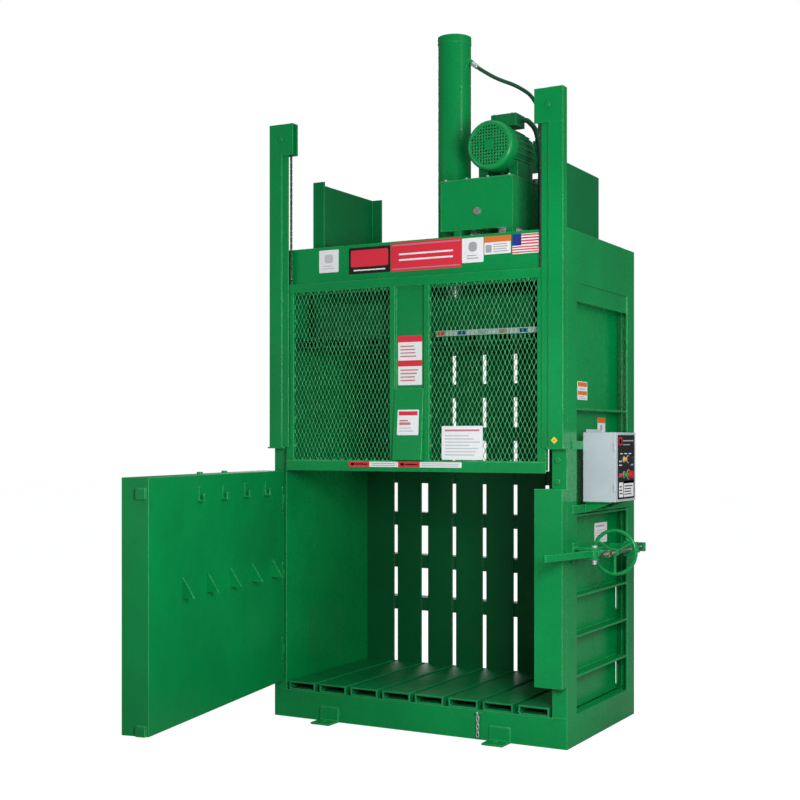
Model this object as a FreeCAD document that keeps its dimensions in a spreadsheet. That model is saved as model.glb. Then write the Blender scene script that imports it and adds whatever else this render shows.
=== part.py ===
import FreeCAD, Part
import math
import os
import re

import Sketcher

# Vertical down-stroke recycling baler. Millimetres, +Z up, +Y towards the back.
# The origin lies on the floor, at the centre of the four anchor holes.

SIZES = {
    # body and chamber
    "body_width": 1676, "body_depth": 965, "chamber_width": 1524, "side_top": 2486,
    "sheet": 8, "plate": 10, "base_height": 146, "base_flange": 60,
    "channel_width": 160, "channel_height": 45, "channel_wall": 8, "wire_pitch": 190,
    "rear_slot": 25, "wide_slot": 45, "back_rib_first": 490, "back_rib_pitch": 245,
    "back_rib_height": 76, "back_rib_depth": 91, "back_rib_wall": 6, "back_gap": 105,
    "post_depth": 124, "post_wall": 8, "column_depth": 108,
    "rib_thick": 10, "rib_recess": 5, "top_plate_high": 246, "side_beam_high": 92,
    "beam_recess": 6, "header_high": 246, "window_long": 30, "window_inset": 2,
    "window_high": 125, "window_low": 170, "window_up": 570, "deck_thick": 12,
    "foot_spread": 980, "foot_width": 110, "foot_depth": 100, "foot_rise": 75,
    "foot_thick": 10, "foot_hole": 11,
    # gate masts, chains and weights
    "mast_width": 76, "mast_depth": 50, "mast_wall": 6, "mast_bottom": 1430, "mast_top": 3149,
    "mast_cap": 8, "mast_lip": 12, "box_width": 148, "box_height": 166, "guide_strip": 38, "strip_thick": 6,
    "strip_back": 34, "wheel_inset": 75, "wheel_drop": 81, "wheel_radius": 47,
    "wheel_thick": 8, "wheel_teeth": 18, "axle_radius": 8, "fit_gap": 0.05,
    "chain_wide": 12, "chain_thick": 9, "weight_top": 2850, "weight_long": 740,
    "weight_wide": 48, "weight_thick": 28,
    # gate
    "gate_width": 1486, "gate_bottom": 1327, "gate_top": 2298, "gate_thick": 26,
    "gate_back": 4, "gate_bar": 45, "gate_wall": 4, "column_width": 226, "column_flange": 30,
    "column_recess": 18, "mesh_thick": 3, "pocket_bottom": 1374, "pocket_top": 1732,
    "pocket_depth": 46, "pocket_wall": 4, "gate_lip": 12,
    # chamber door, drawn shut about its hinge axis and then swung open
    "hinge_in": 52, "hinge_forward": 20, "door_open": 79.67, "door_width": 1440,
    "door_thick": 132, "door_gap": 2, "door_bottom": 196, "door_top": 1312, "door_skin": 8,
    "door_overhang": 2, "knuckle_radius": 15, "knuckle_height": 40, "knuckle_gap": 1, "leaf_thick": 12,
    "pin_radius": 8, "hinge_low": 300, "hinge_pitch": 400, "notch": 24,
    "door_rib_high": 70, "door_rib_deep": 90, "dog_size": 62, "dog_thick": 12,
    "dog_level": 760, "hook_level": 1190, "hook_high": 70, "hook_out": 34, "hook_wide": 22,
    "lug": 46, "lug_out": 12, "knob_radius": 14, "knob_high": 12, "knob_in": 52,
    # strike box and latch
    "strike_width": 143, "strike_depth": 60, "strike_bottom": 297, "strike_top": 1241,
    "strike_wall": 8, "post_bolt_low": 1274, "post_bolt_high": 1379, "latch_level": 932, "pivot_out": 102,
    "pivot_back": 95,
    "lever_reach": 387, "lever_angle": 14.3, "lever_bar": 18, "lever_high": 32,
    "crank": 60, "crank_angle": 18.25, "boss_radius": 24, "ear_thick": 12, "ear_gap": 1,
    "latch_pin": 9, "screw_radius": 12, "screw_front": 45, "screw_back": 616,
    "nut_high": 26, "nut_long": 30, "trunnion": 6, "slot_gap": 0.6,
    "hand_wheel_back": 211, "hand_wheel_radius": 105, "rim_radius": 9, "hub_radius": 20,
    "hub_long": 36, "spoke_radius": 7, "star_back": 440, "star_radius": 48, "star_thick": 14,
    "bearing_back": 584, "bearing_long": 24, "bearing_wide": 44,
    # press: platen, guides, rod and cylinder
    "platen_bottom": 1960, "platen_side_gap": 10, "platen_front": 30, "platen_back": 838,
    "platen_channel": 50, "platen_plate": 10, "platen_beam_top": 2190, "platen_beam_wide": 120,
    "platen_beam_wall": 10, "platen_cap": 2206, "guide_out": 700, "guide_front": 165,
    "guide_back": 795, "guide_rise": 384, "guide_flange": 60, "guide_wall": 10,
    "guide_room": 12, "brace_thick": 8, "brace_long": 240, "brace_high": 180, "bore_back": 478,
    "barrel_radius": 89, "barrel_wall": 13,
    "barrel_drop": 186, "barrel_rise": 1146, "cap_thick": 40, "cap_lip": 2,
    "flange_wide": 320, "flange_thick": 30, "rod_radius": 45, "rod_boss": 80,
    "gland_long": 60, "piston_long": 70, "piston_gap": 0.4, "piston_room": 8,
    "beam_gap": 21, "beam_wide": 80, "beam_high": 120, "beam_wall": 8,
    # power unit
    "tank_gap": 13, "tank_wide": 398, "tank_front": 120, "tank_back": 600,
    "tank_lift": 49, "tank_high": 257, "tank_wall": 4, "tank_lid": 6, "tank_foot": 40,
    "motor_in": 256, "motor_lift": 168, "motor_front": 150, "cover_long": 80,
    "cover_radius": 126, "cover_wall": 3, "motor_long": 250, "motor_radius": 112,
    "fin_high": 8, "fin_thick": 4, "bell_long": 110, "bell_radius": 78, "pump_long": 120,
    "pump_wide": 96, "shaft_radius": 14, "fan_radius": 100, "box_long": 110, "box_wide": 140,
    "box_high": 62, "valve_wide": 90, "valve_long": 110, "valve_high": 120,
    "hose_radius": 10, "port_drop": 127, "port_long": 34, "gauge_radius": 19, "gauge_high": 90,
    "conduit_radius": 13, "return_radius": 8,
    # control box
    "box_stand": 8, "rail_high": 40, "rail_low": 1120, "rail_up": 1430, "cabinet_deep": 148,
    "cabinet_front": 190, "cabinet_back": 475, "cabinet_bottom": 1175, "cabinet_top": 1511,
    "cabinet_wall": 2.5, "lid_thick": 18, "lid_gap": 0.5, "lid_hinge": 4,
    "panel_thick": 2, "panel_wide": 160, "panel_high": 236, "button_radius": 11,
    "button_out": 14, "stop_radius": 19, "hole_gap": 0.4,
    # small hanging chain
    "link_wire": 5, "link_long": 20, "link_wide": 17, "link_count": 6, "eye_x": 372, "staple_level": 134,
    "staple_out": 8, "staple_half": 13, "staple_gap": 0.3,
}

WORKED = {
    "front": "-body_depth / 2",
    "back": "body_depth / 2",
    "side": "body_width / 2",
    "wall": "chamber_width / 2",
    "sheet_out": "wall + sheet",
    "floor_top": "base_height + channel_height",
    "rear_inside": "body_depth - back_gap - plate",
    "bay_front": "front + post_depth",
    "bay_back": "back - column_depth",
    "top_plate_bottom": "side_top - top_plate_high",
    "beam_bottom": "top_plate_bottom - side_beam_high",
    "header_bottom": "side_top - header_high",
    "window_front": "front + rear_inside + plate + window_inset",
    "mast_in": "side - mast_width",
    "wheel_x": "side - wheel_inset",
    "wheel_z": "mast_top - wheel_drop",
    "mast_mid": "front - mast_depth / 2",
    "gate_front": "front - gate_back - gate_thick",
    "gate_rear": "front - gate_back",
    "hinge_x": "-(side - hinge_in)",
    "hinge_y": "front - hinge_forward",
    "door_inner": "hinge_forward - door_gap",
    "door_outer": "door_inner - door_thick",
    "pivot_x": "side + pivot_out",
    "pivot_y": "front + pivot_back",
    "screw_x": "pivot_x + crank",
    "platen_half": "wall - platen_side_gap",
    "platen_floor": "platen_bottom + platen_channel + platen_plate",
    "bore_y": "front + bore_back",
    "flange_top": "side_top + flange_thick",
    "guide_top": "side_top + guide_rise",
    "bore_radius": "barrel_radius - barrel_wall",
    "cap_radius": "barrel_radius + cap_lip",
    "barrel_bottom": "side_top - barrel_drop",
    "barrel_top": "side_top + barrel_rise",
    "piston_bottom": "barrel_top - cap_thick - piston_room - piston_long",
    "port_level": "barrel_top - port_drop",
    "beam_inner": "barrel_radius + beam_gap",
    "tank_left": "barrel_radius + tank_gap",
    "tank_right": "tank_left + tank_wide",
    "tank_bottom": "side_top + tank_lift",
    "tank_top": "tank_bottom + tank_high",
    "motor_x": "tank_left + motor_in",
    "motor_z": "tank_top + motor_lift",
    "cabinet_in": "side + box_stand",
    "cabinet_out": "cabinet_in + cabinet_deep",
    "lid_out": "cabinet_out + lid_gap + lid_thick",
    "panel_out": "lid_out + panel_thick",
}

doc = FreeCAD.newDocument("RecyclingBaler")
dims = doc.addObject("Spreadsheet::Sheet", "Dims")
for row, (alias, amount) in enumerate(SIZES.items(), start=1):
    dims.set("A%d" % row, alias)
    dims.set("B%d" % row, str(amount))
    dims.setAlias("B%d" % row, alias)
doc.recompute()

NODES = []
UP = FreeCAD.Rotation()
ALONG_X = FreeCAD.Rotation(FreeCAD.Vector(0, 1, 0), 90)
ALONG_Y = FreeCAD.Rotation(FreeCAD.Vector(1, 0, 0), -90)
FACING_FRONT = FreeCAD.Rotation(FreeCAD.Vector(1, 0, 0), 90)
FACING_RIGHT = FreeCAD.Rotation(FreeCAD.Vector(1, 1, 1), 120)
PORT_TURN = FreeCAD.Rotation(FreeCAD.Vector(0, 1, 0), 130)


def full(text):
    """An expression in plain words, with each word tied to its cell or to what it is worked out from."""
    def swap(match):
        word = match.group(0)
        if word in WORKED:
            return "(" + full(WORKED[word]) + ")"
        return "Dims." + word if word in SIZES else word
    return re.sub(r"[a-z_]+", swap, str(text))


def value(text):
    return float(dims.evalExpression(full(text)))


def bind(part, name, text):
    part.setExpression(name, full(text))


def place(part, spot, turn=UP):
    part.Placement = FreeCAD.Placement(FreeCAD.Vector(*[value(text) for text in spot]), turn)
    for axis, text in zip("xyz", spot):
        bind(part, ".Placement.Base." + axis, text)


def block(name, across, along, height):
    """A box from three spans, each a pair of low and high ends."""
    part = doc.addObject("Part::Box", name)
    for side, (low, high) in zip(("Length", "Width", "Height"), (across, along, height)):
        bind(part, side, "(%s) - (%s)" % (high, low))
    place(part, (across[0], along[0], height[0]))
    return part


def rod(name, spot, radius, length, turn=UP):
    part = doc.addObject("Part::Cylinder", name)
    bind(part, "Radius", radius)
    bind(part, "Height", length)
    place(part, spot, turn)
    return part


def ring(name, spot, radius, hole, length, turn=UP):
    outer = rod(name + "_outer", spot, radius, length, turn)
    inner = rod(name + "_hole", spot, hole, length, turn)
    return less(name, outer, [inner])


def join(name, parts):
    if len(parts) == 1:
        return parts[0]
    part = doc.addObject("Part::MultiFuse", name)
    part.Shapes = parts
    part.Refine = False
    return part


def less(name, base, tools):
    part = doc.addObject("Part::Cut", name)
    part.Base = base
    part.Tool = join(name + "_tools", tools)
    return part


def group(name, parts):
    part = doc.addObject("Part::Compound", name)
    part.Links = parts
    return part


def node(part, label):
    part.Label = label
    NODES.append(part)
    return part


def feature(name, shape):
    part = doc.addObject("Part::Feature", name)
    part.Shape = shape
    return part


def span(side, inner, outer):
    """The same stretch on the right side (1) or mirrored on the left side (-1)."""
    return (inner, outer) if side > 0 else ("-(%s)" % outer, "-(%s)" % inner)


def frame_tube(name, across, along, height, wall, through):
    """A rectangular tube, open along the axis named by through."""
    spans = [across, along, height]
    inside = ["xyz"[k] == through and s or ("(%s) + %s" % (s[0], wall), "(%s) - %s" % (s[1], wall))
              for k, s in enumerate(spans)]
    return less(name, block(name + "_out", *spans), [block(name + "_in", *inside)])


def wedge(name, spot, foot, top, rise, turn=UP):
    """A block whose top face differs from its foot: each face is a pair of spans in x and y."""
    part = doc.addObject("Part::Wedge", name)
    (left, right), (near, far) = foot
    (top_left, top_right), (top_near, top_far) = top
    for prop, text in (("Xmin", left), ("Xmax", right), ("Zmin", near), ("Zmax", far),
                       ("X2min", top_left), ("X2max", top_right), ("Z2min", top_near),
                       ("Z2max", top_far), ("Ymin", "0"), ("Ymax", rise)):
        bind(part, prop, text)
    place(part, spot, turn)
    return part


def outline(body, name, points):
    """A closed sketch of straight edges on the body's own ground plane, each corner tied to the sheet."""
    sketch = body.newObject("Sketcher::SketchObject", name)
    ground = [item for item in body.Origin.OriginFeatures if item.Role == "XY_Plane"][0]
    sketch.AttachmentSupport = [(ground, "")]
    sketch.MapMode = "FlatFace"
    spots = [FreeCAD.Vector(value(x), value(y), 0) for x, y in points]
    count = len(spots)
    for k in range(count):
        sketch.addGeometry(Part.LineSegment(spots[k], spots[(k + 1) % count]), False)
    for k in range(count):
        sketch.addConstraint(Sketcher.Constraint("Coincident", k, 2, (k + 1) % count, 1))
    for k, (x, y) in enumerate(points):
        for kind, text, amount in (("DistanceX", x, spots[k].x), ("DistanceY", y, spots[k].y)):
            mark = sketch.addConstraint(Sketcher.Constraint(kind, -1, 1, k, 1, amount))
            sketch.setExpression("Constraints[%d]" % mark, full(text))
    return sketch


def pad(name, points, thick, spot, turn=UP):
    body = doc.addObject("PartDesign::Body", name)
    sketch = outline(body, name + "_outline", points)
    grown = body.newObject("PartDesign::Pad", name + "_pad")
    grown.Profile = sketch
    bind(grown, "Length", thick)
    place(body, spot, turn)
    return body


def spun(name, points, spot, turn=UP):
    """A turned piece: the outline's x is the radius and its y the height along the axis."""
    body = doc.addObject("PartDesign::Body", name)
    sketch = outline(body, name + "_outline", points)
    turned = body.newObject("PartDesign::Revolution", name + "_turned")
    turned.Profile = sketch
    turned.ReferenceAxis = (sketch, ["V_Axis"])
    turned.Angle = 360
    place(body, spot, turn)
    return body


# ---------------------------------------------------------------- base and floor

def base_frame():
    """A ring of channels on its side: plain faces outside, flanges pointing in."""
    whole = block("base_whole", ("-side", "side"), ("front", "back"), ("0", "base_height"))
    inside = block("base_inside", ("-side + plate", "side - plate"), ("front + plate", "back - plate"),
                   ("plate", "base_height - plate"))
    opening = block("base_opening", ("-side + base_flange", "side - base_flange"),
                    ("front + base_flange", "back - base_flange"), ("0", "base_height"))
    ring_frame = less("base_ring", whole, [inside, opening])
    node(join("base", [ring_frame] + anchor_feet() + chain_staple()), "base_frame")


def floor_channels():
    """Eight hollow channels lie front to back; the gaps between them take the bale wires."""
    channels = []
    for k in range(8):
        middle = "wire_pitch * %.1f" % (k - 3.5)
        channels.append(frame_tube("floor_channel_%d" % (k + 1),
                                   (middle + " - channel_width / 2", middle + " + channel_width / 2"),
                                   ("front", "front + rear_inside"), ("base_height", "floor_top"),
                                   "channel_wall", "y"))
    node(group("floor", channels), "floor_channels")


def anchor_feet():
    feet = []
    for side in (-1, 1):
        for end in (-1, 1):
            name = "foot_%s_%s" % ("left" if side < 0 else "right", "front" if end < 0 else "rear")
            middle = "%d * foot_spread / 2" % side
            across = (middle + " - foot_width / 2", middle + " + foot_width / 2")
            if end < 0:
                flat = ("front - foot_depth", "front")
                leg = ("front - foot_thick", "front")
                hole_y = "front - foot_depth / 2"
            else:
                flat = ("back", "back + foot_depth")
                leg = ("back", "back + foot_thick")
                hole_y = "back + foot_depth / 2"
            sole = block(name + "_sole", across, flat, ("0", "foot_thick"))
            rise = block(name + "_leg", across, leg, ("0", "foot_rise"))
            hole = rod(name + "_hole", (middle, hole_y, "0"), "foot_hole", "foot_thick")
            feet.append(less(name, join(name + "_angle", [sole, rise]), [hole]))
    return feet


# ---------------------------------------------------------------- walls and top

def side_frame(side):
    """One welded side: recessed sheet, front post, rear column, ribs and the plate at the top."""
    word = "left" if side < 0 else "right"
    sheet = block(word + "_sheet", span(side, "wall", "sheet_out"), ("front", "back - plate"),
                  ("base_height", "side_top"))
    windows = []
    for name, low in (("low", "window_low"), ("high", "window_up")):
        windows.append(block("%s_window_%s" % (word, name), span(side, "wall", "sheet_out"),
                             ("window_front", "window_front + window_long"), (low, low + " + window_high")))
    parts = [
        less(word + "_sheet_open", sheet, windows),
        frame_tube(word + "_post", span(side, "sheet_out", "side"), ("front", "bay_front"),
                   ("base_height", "side_top"), "post_wall", "z"),
        block(word + "_column", span(side, "side - plate", "side"), ("bay_back", "back"),
              ("base_height", "side_top")),
        block(word + "_column_back", span(side, "wall", "side"), ("back - plate", "back"),
              ("base_height", "side_top")),
        block(word + "_top_plate", span(side, "side - plate", "side"), ("bay_front", "bay_back"),
              ("top_plate_bottom", "side_top")),
        block(word + "_cap", span(side, "sheet_out", "side - plate"), ("bay_front", "back - plate"),
              ("side_top - plate", "side_top")),
        block(word + "_beam", span(side, "sheet_out", "side - beam_recess"), ("bay_front", "bay_back"),
              ("beam_bottom", "top_plate_bottom")),
    ]
    for k, level in enumerate((327, 520, 715, 910, 1107, 1625)):
        parts.append(block("%s_rib_%d" % (word, k + 1), span(side, "sheet_out", "side - rib_recess"),
                           ("bay_front", "bay_back"),
                           ("%d - rib_thick / 2" % level, "%d + rib_thick / 2" % level)))
    if side < 0:
        parts += post_knuckles()
    node(join(word + "_frame", parts), word + "_side_frame")


def rear_wall():
    """Eight upright plates with wire slots between them, tied by ribs across the back."""
    face = ("front + rear_inside", "front + rear_inside + plate")
    whole = block("rear_plate", ("-wall", "wall"), face, ("base_height", "side_top - deck_thick"))
    slots = []
    for k in range(-3, 4):
        width = "wide_slot" if k == -2 else "rear_slot"
        slots.append(block("rear_slot_%d" % (k + 4),
                           ("%d * wire_pitch - %s / 2" % (k, width),
                            "%d * wire_pitch + %s / 2" % (k, width)),
                           face, ("floor_top", "header_bottom")))
    parts = [less("rear_plates", whole, slots)]
    for k in range(8):
        low = "back_rib_first + %d * back_rib_pitch" % k
        parts.append(frame_tube("rear_rib_%d" % (k + 1), ("-wall", "wall"),
                                ("front + rear_inside + plate",
                                 "front + rear_inside + plate + back_rib_depth"),
                                (low, low + " + back_rib_height"), "back_rib_wall", "x"))
    node(join("rear", parts), "rear_wall")


def header():
    parts = [
        block("header_web", ("-wall", "wall"), ("front", "front + plate"), ("header_bottom", "side_top")),
        block("header_lip", ("-wall", "wall"), ("front + plate", "front + platen_front - plate"),
              ("header_bottom", "header_bottom + plate")),
    ]
    node(join("header", parts), "header_plate")


def top_deck():
    """The deck has a round hole for the cylinder and two long openings for the platen guides."""
    flat = ("side_top - deck_thick", "side_top")
    whole = block("deck_whole", ("-wall", "wall"), ("front + plate", "front + rear_inside + plate"), flat)
    cuts = [rod("deck_bore", ("0", "bore_y", "side_top - deck_thick"), "barrel_radius + 1", "deck_thick")]
    for side in (-1, 1):
        cuts.append(block("deck_slot_%d" % (side + 2),
                          span(side, "guide_out - guide_flange - guide_wall - guide_room",
                               "guide_out + guide_room"),
                          ("front + guide_front - guide_room", "front + guide_back + guide_room"), flat))
    node(less("deck", whole, cuts), "top_deck")


def cylinder_beams():
    beams = []
    for side in (-1, 1):
        beams.append(frame_tube("cylinder_beam_%d" % (side + 2),
                                span(side, "beam_inner", "beam_inner + beam_wide"),
                                ("front + plate", "front + rear_inside"),
                                ("side_top - deck_thick - beam_high", "side_top - deck_thick"),
                                "beam_wall", "y"))
    node(group("beams", beams), "cylinder_beams")


# ---------------------------------------------------------------- masts, chains and weights

def mast(side):
    """A hollow mast on its foot plate, the strip that holds the gate back, and the chain wheel box."""
    word = "left" if side < 0 else "right"
    deep = ("front - mast_depth", "front")
    box_low = "mast_top - box_height"
    tube = frame_tube(word + "_mast_tube", span(side, "mast_in", "side"), deep,
                      ("mast_bottom + mast_cap", "mast_top - mast_wall"), "mast_wall", "z")
    window = block(word + "_mast_window", span(side, "mast_in", "mast_in + mast_wall"),
                   ("front - mast_depth + mast_wall", "front - mast_wall"),
                   (box_low, "mast_top - mast_wall"))
    box_x = span(side, "side - box_width", "mast_in")
    parts = [
        less(word + "_mast_open", tube, [window]),
        block(word + "_mast_foot", span(side, "mast_in - mast_lip", "side + mast_lip"), deep,
              ("mast_bottom", "mast_bottom + mast_cap")),
        block(word + "_box_front", box_x, ("front - mast_depth", "front - mast_depth + mast_wall"),
              (box_low, "mast_top - mast_wall")),
        block(word + "_box_rear", box_x, ("front - mast_wall", "front"),
              (box_low, "mast_top - mast_wall")),
        block(word + "_box_top", span(side, "side - box_width", "side"), deep,
              ("mast_top - mast_wall", "mast_top")),
        block(word + "_strip", span(side, "mast_in - guide_strip", "mast_in"),
              ("front - strip_back - strip_thick", "front - strip_back"),
              ("mast_bottom + mast_cap", box_low)),
    ]
    hole = rod(word + "_axle_hole", ("%d * (wheel_x)" % side, "front - mast_depth", "wheel_z"),
               "axle_radius + fit_gap", "mast_depth", ALONG_Y)
    node(less(word + "_mast_whole", join(word + "_mast_parts", parts), [hole]), word + "_mast")


def chain_wheel(side):
    """A toothed wheel: a disc with a round notch for each chain roller."""
    word = "left" if side < 0 else "right"
    middle = ("%d * (wheel_x)" % side, "mast_mid - wheel_thick / 2", "wheel_z")
    disc = rod(word + "_wheel_disc", middle, "wheel_radius + 4", "wheel_thick", ALONG_Y)
    hub = rod(word + "_wheel_hub", ("%d * (wheel_x)" % side, "mast_mid - wheel_thick", "wheel_z"), "18",
              "wheel_thick * 2", ALONG_Y)
    radius = value("wheel_radius")
    notches = []
    for k in range(int(value("wheel_teeth"))):
        angle = 360 * k / value("wheel_teeth")
        spot = ("%d * (wheel_x) + wheel_radius * cos(%.4f)" % (side, angle),
                "mast_mid - wheel_thick / 2", "wheel_z + wheel_radius * sin(%.4f)" % angle)
        notches.append(rod("%s_notch_%d" % (word, k + 1), spot, "5", "wheel_thick", ALONG_Y))
    bore = rod(word + "_wheel_bore", ("%d * (wheel_x)" % side, "mast_mid - wheel_thick", "wheel_z"),
               "axle_radius + fit_gap", "wheel_thick * 2", ALONG_Y)
    toothed = less(word + "_wheel_toothed", disc, notches)
    node(less(word + "_wheel_whole", join(word + "_wheel_parts", [toothed, hub]), [bore]),
         word + "_chain_wheel")


def wheel_axles():
    axles = []
    for side in (-1, 1):
        x = "%d * (wheel_x)" % side
        name = "axle_%d" % (side + 2)
        pin = rod(name + "_pin", (x, "front - mast_depth - 8", "wheel_z"), "axle_radius",
                  "mast_depth + 20", ALONG_Y)
        head = rod(name + "_head", (x, "front - mast_depth - 9", "wheel_z"), "13", "9 - 0.2", ALONG_Y)
        nut = rod(name + "_nut", (x, "front + 0.2", "wheel_z"), "13", "10", ALONG_Y)
        axles.append(join(name, [pin, head, nut]))
    node(group("axles", axles), "wheel_axles")


def chain_run(side, name, x, low):
    """A straight run of chain, cut back to lie on its wheel."""
    word = "left" if side < 0 else "right"
    run = block("%s_%s_run" % (word, name), span(side, x + " - chain_wide / 2", x + " + chain_wide / 2"),
                ("mast_mid - chain_thick / 2", "mast_mid + chain_thick / 2"), (low, "wheel_z"))
    clear = rod("%s_%s_clear" % (word, name), ("%d * (wheel_x)" % side, "mast_mid - chain_thick / 2",
                                               "wheel_z"),
                "wheel_radius + 4.4", "chain_thick", ALONG_Y)
    return less("%s_%s_chain" % (word, name), run, [clear])


def chains_and_weights():
    """The visible runs down to the gate, the hidden runs down to the weights, and the weights."""
    sides = (-1, 1)
    node(group("gate_runs", [chain_run(side, "gate", "wheel_x - wheel_radius",
                                       "gate_top") for side in sides]),
         "gate_chains")
    node(group("weight_runs", [chain_run(side, "weight", "wheel_x + wheel_radius",
                                         "weight_top") for side in sides]),
         "weight_chains")
    middle = "side - mast_width / 2"
    bars = [block("weight_bar_%d" % (side + 2), span(side, middle + " - weight_wide / 2",
                                                     middle + " + weight_wide / 2"),
                  ("mast_mid - weight_thick / 2", "mast_mid + weight_thick / 2"),
                  ("weight_top - weight_long", "weight_top")) for side in sides]
    node(group("weights", bars), "counterweights")


# ---------------------------------------------------------------- gate

def gate():
    """A light frame of bars round two mesh panels, with a recessed column in its middle."""
    half = "gate_width / 2"
    deep = ("gate_front", "gate_rear")
    parts = []
    for side in (-1, 1):
        word = "left" if side < 0 else "right"
        parts.append(frame_tube("gate_bar_" + word, span(side, half + " - gate_bar", half), deep,
                                ("gate_bottom", "gate_top"), "gate_wall", "z"))
        parts.append(block("gate_flange_" + word,
                           span(side, "column_width / 2 - column_flange", "column_width / 2"), deep,
                           ("gate_bottom + gate_bar", "gate_top - gate_bar")))
    inner = ("-(%s) + gate_bar" % half, half + " - gate_bar")
    parts.append(frame_tube("gate_bar_top", inner, deep, ("gate_top - gate_bar", "gate_top"),
                            "gate_wall", "x"))
    parts.append(frame_tube("gate_bar_bottom", inner, deep, ("gate_bottom", "gate_bottom + gate_bar"),
                            "gate_wall", "x"))
    parts.append(block("gate_web", ("-column_width / 2 + column_flange",
                                    "column_width / 2 - column_flange"),
                       ("gate_front + column_recess", "gate_rear"),
                       ("gate_bottom + gate_bar", "gate_top - gate_bar")))
    parts.append(block("gate_lip", ("-(%s)" % half, half), ("gate_front - 3", "gate_front"),
                       ("gate_bottom - gate_lip", "gate_bottom + gate_bar - 5")))
    node(join("gate", parts), "gate_frame")
    panels = [block("mesh_%d" % (side + 2), span(side, "column_width / 2", half + " - gate_bar"),
                    ("gate_front + (gate_thick - mesh_thick) / 2",
                     "gate_front + (gate_thick + mesh_thick) / 2"),
                    ("gate_bottom + gate_bar", "gate_top - gate_bar")) for side in (-1, 1)]
    node(group("meshes", panels), "mesh_panels")


def gate_handle():
    """A folded pocket, open at its foot, that a hand lifts the gate by."""
    tall = "pocket_top - pocket_bottom"
    wide = "column_width - 2 * column_flange - 2"
    sideways = FreeCAD.Rotation(FreeCAD.Vector(0, 1, 0), FreeCAD.Vector(0, 0, 1), FreeCAD.Vector(1, 0, 0),
                                "ZXY")
    spot = ("-(%s) / 2" % wide, "gate_front + column_recess", "pocket_bottom")
    outer = pad("pocket_outer", [("0", "0"), ("-pocket_depth", "0"), ("-column_recess - 4", tall),
                                 ("0", tall)],
                wide, spot, sideways)
    inner_spot = (spot[0] + " + pocket_wall", spot[1], spot[2])
    inner = pad("pocket_inner", [("1", "-1"), ("pocket_wall - pocket_depth", "-1"),
                                 ("pocket_wall - column_recess - 4", tall + " - pocket_wall"),
                                 ("1", tall + " - pocket_wall")],
                wide + " - 2 * pocket_wall", inner_spot, sideways)
    node(less("pocket", outer, [inner]), "gate_handle")


# ---------------------------------------------------------------- chamber door

DOOR_TURN = FreeCAD.Rotation(FreeCAD.Vector(0, 0, 1), -value("door_open"))


def swing(part):
    """Set a piece that was drawn about the hinge axis on the hinge, swung open."""
    place(part, ("hinge_x", "hinge_y", "0"), DOOR_TURN)
    bind(part, ".Placement.Rotation.Angle", "0 - door_open")
    return part


HINGES = ["hinge_low + %d * hinge_pitch" % k for k in range(3)]


def door_panel():
    near = "-door_overhang"
    far = "door_width - door_overhang"
    deep = ("door_outer", "door_inner")
    high = ("door_bottom", "door_top")
    body_deep = ("door_outer", "door_inner - door_skin")
    parts = [
        block("door_face", (near, far), ("door_inner - door_skin", "door_inner"), high),
        block("door_end", (far + " - door_skin", far), body_deep, high),
        block("door_hinge_end", (near, near + " + door_skin"), body_deep, high),
        block("door_top_edge", (near, far), body_deep, ("door_top - door_skin", "door_top")),
        block("door_foot_edge", (near, far), body_deep, ("door_bottom", "door_bottom + door_skin")),
    ]
    for k, share in enumerate((0.2, 0.5, 0.8)):
        low = "door_bottom + %.1f * (door_top - door_bottom) - door_rib_high / 2" % share
        parts.append(frame_tube("door_rib_%d" % (k + 1), (near + " + door_skin", far + " - door_skin"),
                                ("door_inner - door_skin - door_rib_deep", "door_inner - door_skin"),
                                (low, low + " + door_rib_high"), "6", "x"))
    notches = []
    leaves = []
    for k, low in enumerate(HINGES):
        tall = "3 * knuckle_height"
        notches.append(block("door_notch_%d" % (k + 1), ("-notch - 10", "notch"), ("-notch", "notch + 2"),
                             (low + " - 10", low + " + %s + 10" % tall)))
        leaves.append(block("door_block_%d" % (k + 1), ("notch", "notch + 16"),
                            ("-notch - 20", "door_inner - door_skin"),
                            (low + " - 12", low + " + %s + 20" % tall)))
        for j, start in enumerate((low, low + " + 2 * knuckle_height")):
            name = "door_knuckle_%d_%d" % (k + 1, j + 1)
            size = "knuckle_height - knuckle_gap"
            leaves.append(rod(name, ("0", "0", start + " + knuckle_gap / 2"), "knuckle_radius", size))
            leaves.append(block(name + "_leaf", ("0", "notch"), ("-6", "6"),
                                (start + " + knuckle_gap / 2",
                                 start + " - knuckle_gap / 2 + knuckle_height")))
    pan = less("door_pan", join("door_weldment", parts), notches)
    bores = [rod("door_bore_%d" % (k + 1), ("0", "0", low), "pin_radius + fit_gap", "3 * knuckle_height")
             for k, low in enumerate(HINGES)]
    node(swing(less("door", join("door_with_leaves", [pan] + leaves + door_lugs()), bores)), "chamber_door")


def triangle(name, x, low, out, high, thick):
    """A three-cornered plate that stands out of the door's inner face, pointing up."""
    body = pad(name, [("0", "0"), (out, "0"), ("4", high), ("0", high)], thick, ("0", "0", "0"))
    spot = (x, "door_inner", low)
    place(body, spot, FreeCAD.Rotation(FreeCAD.Vector(0, 1, 0), FreeCAD.Vector(0, 0, 1),
                                       FreeCAD.Vector(1, 0, 0), "ZXY"))
    return body


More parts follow.
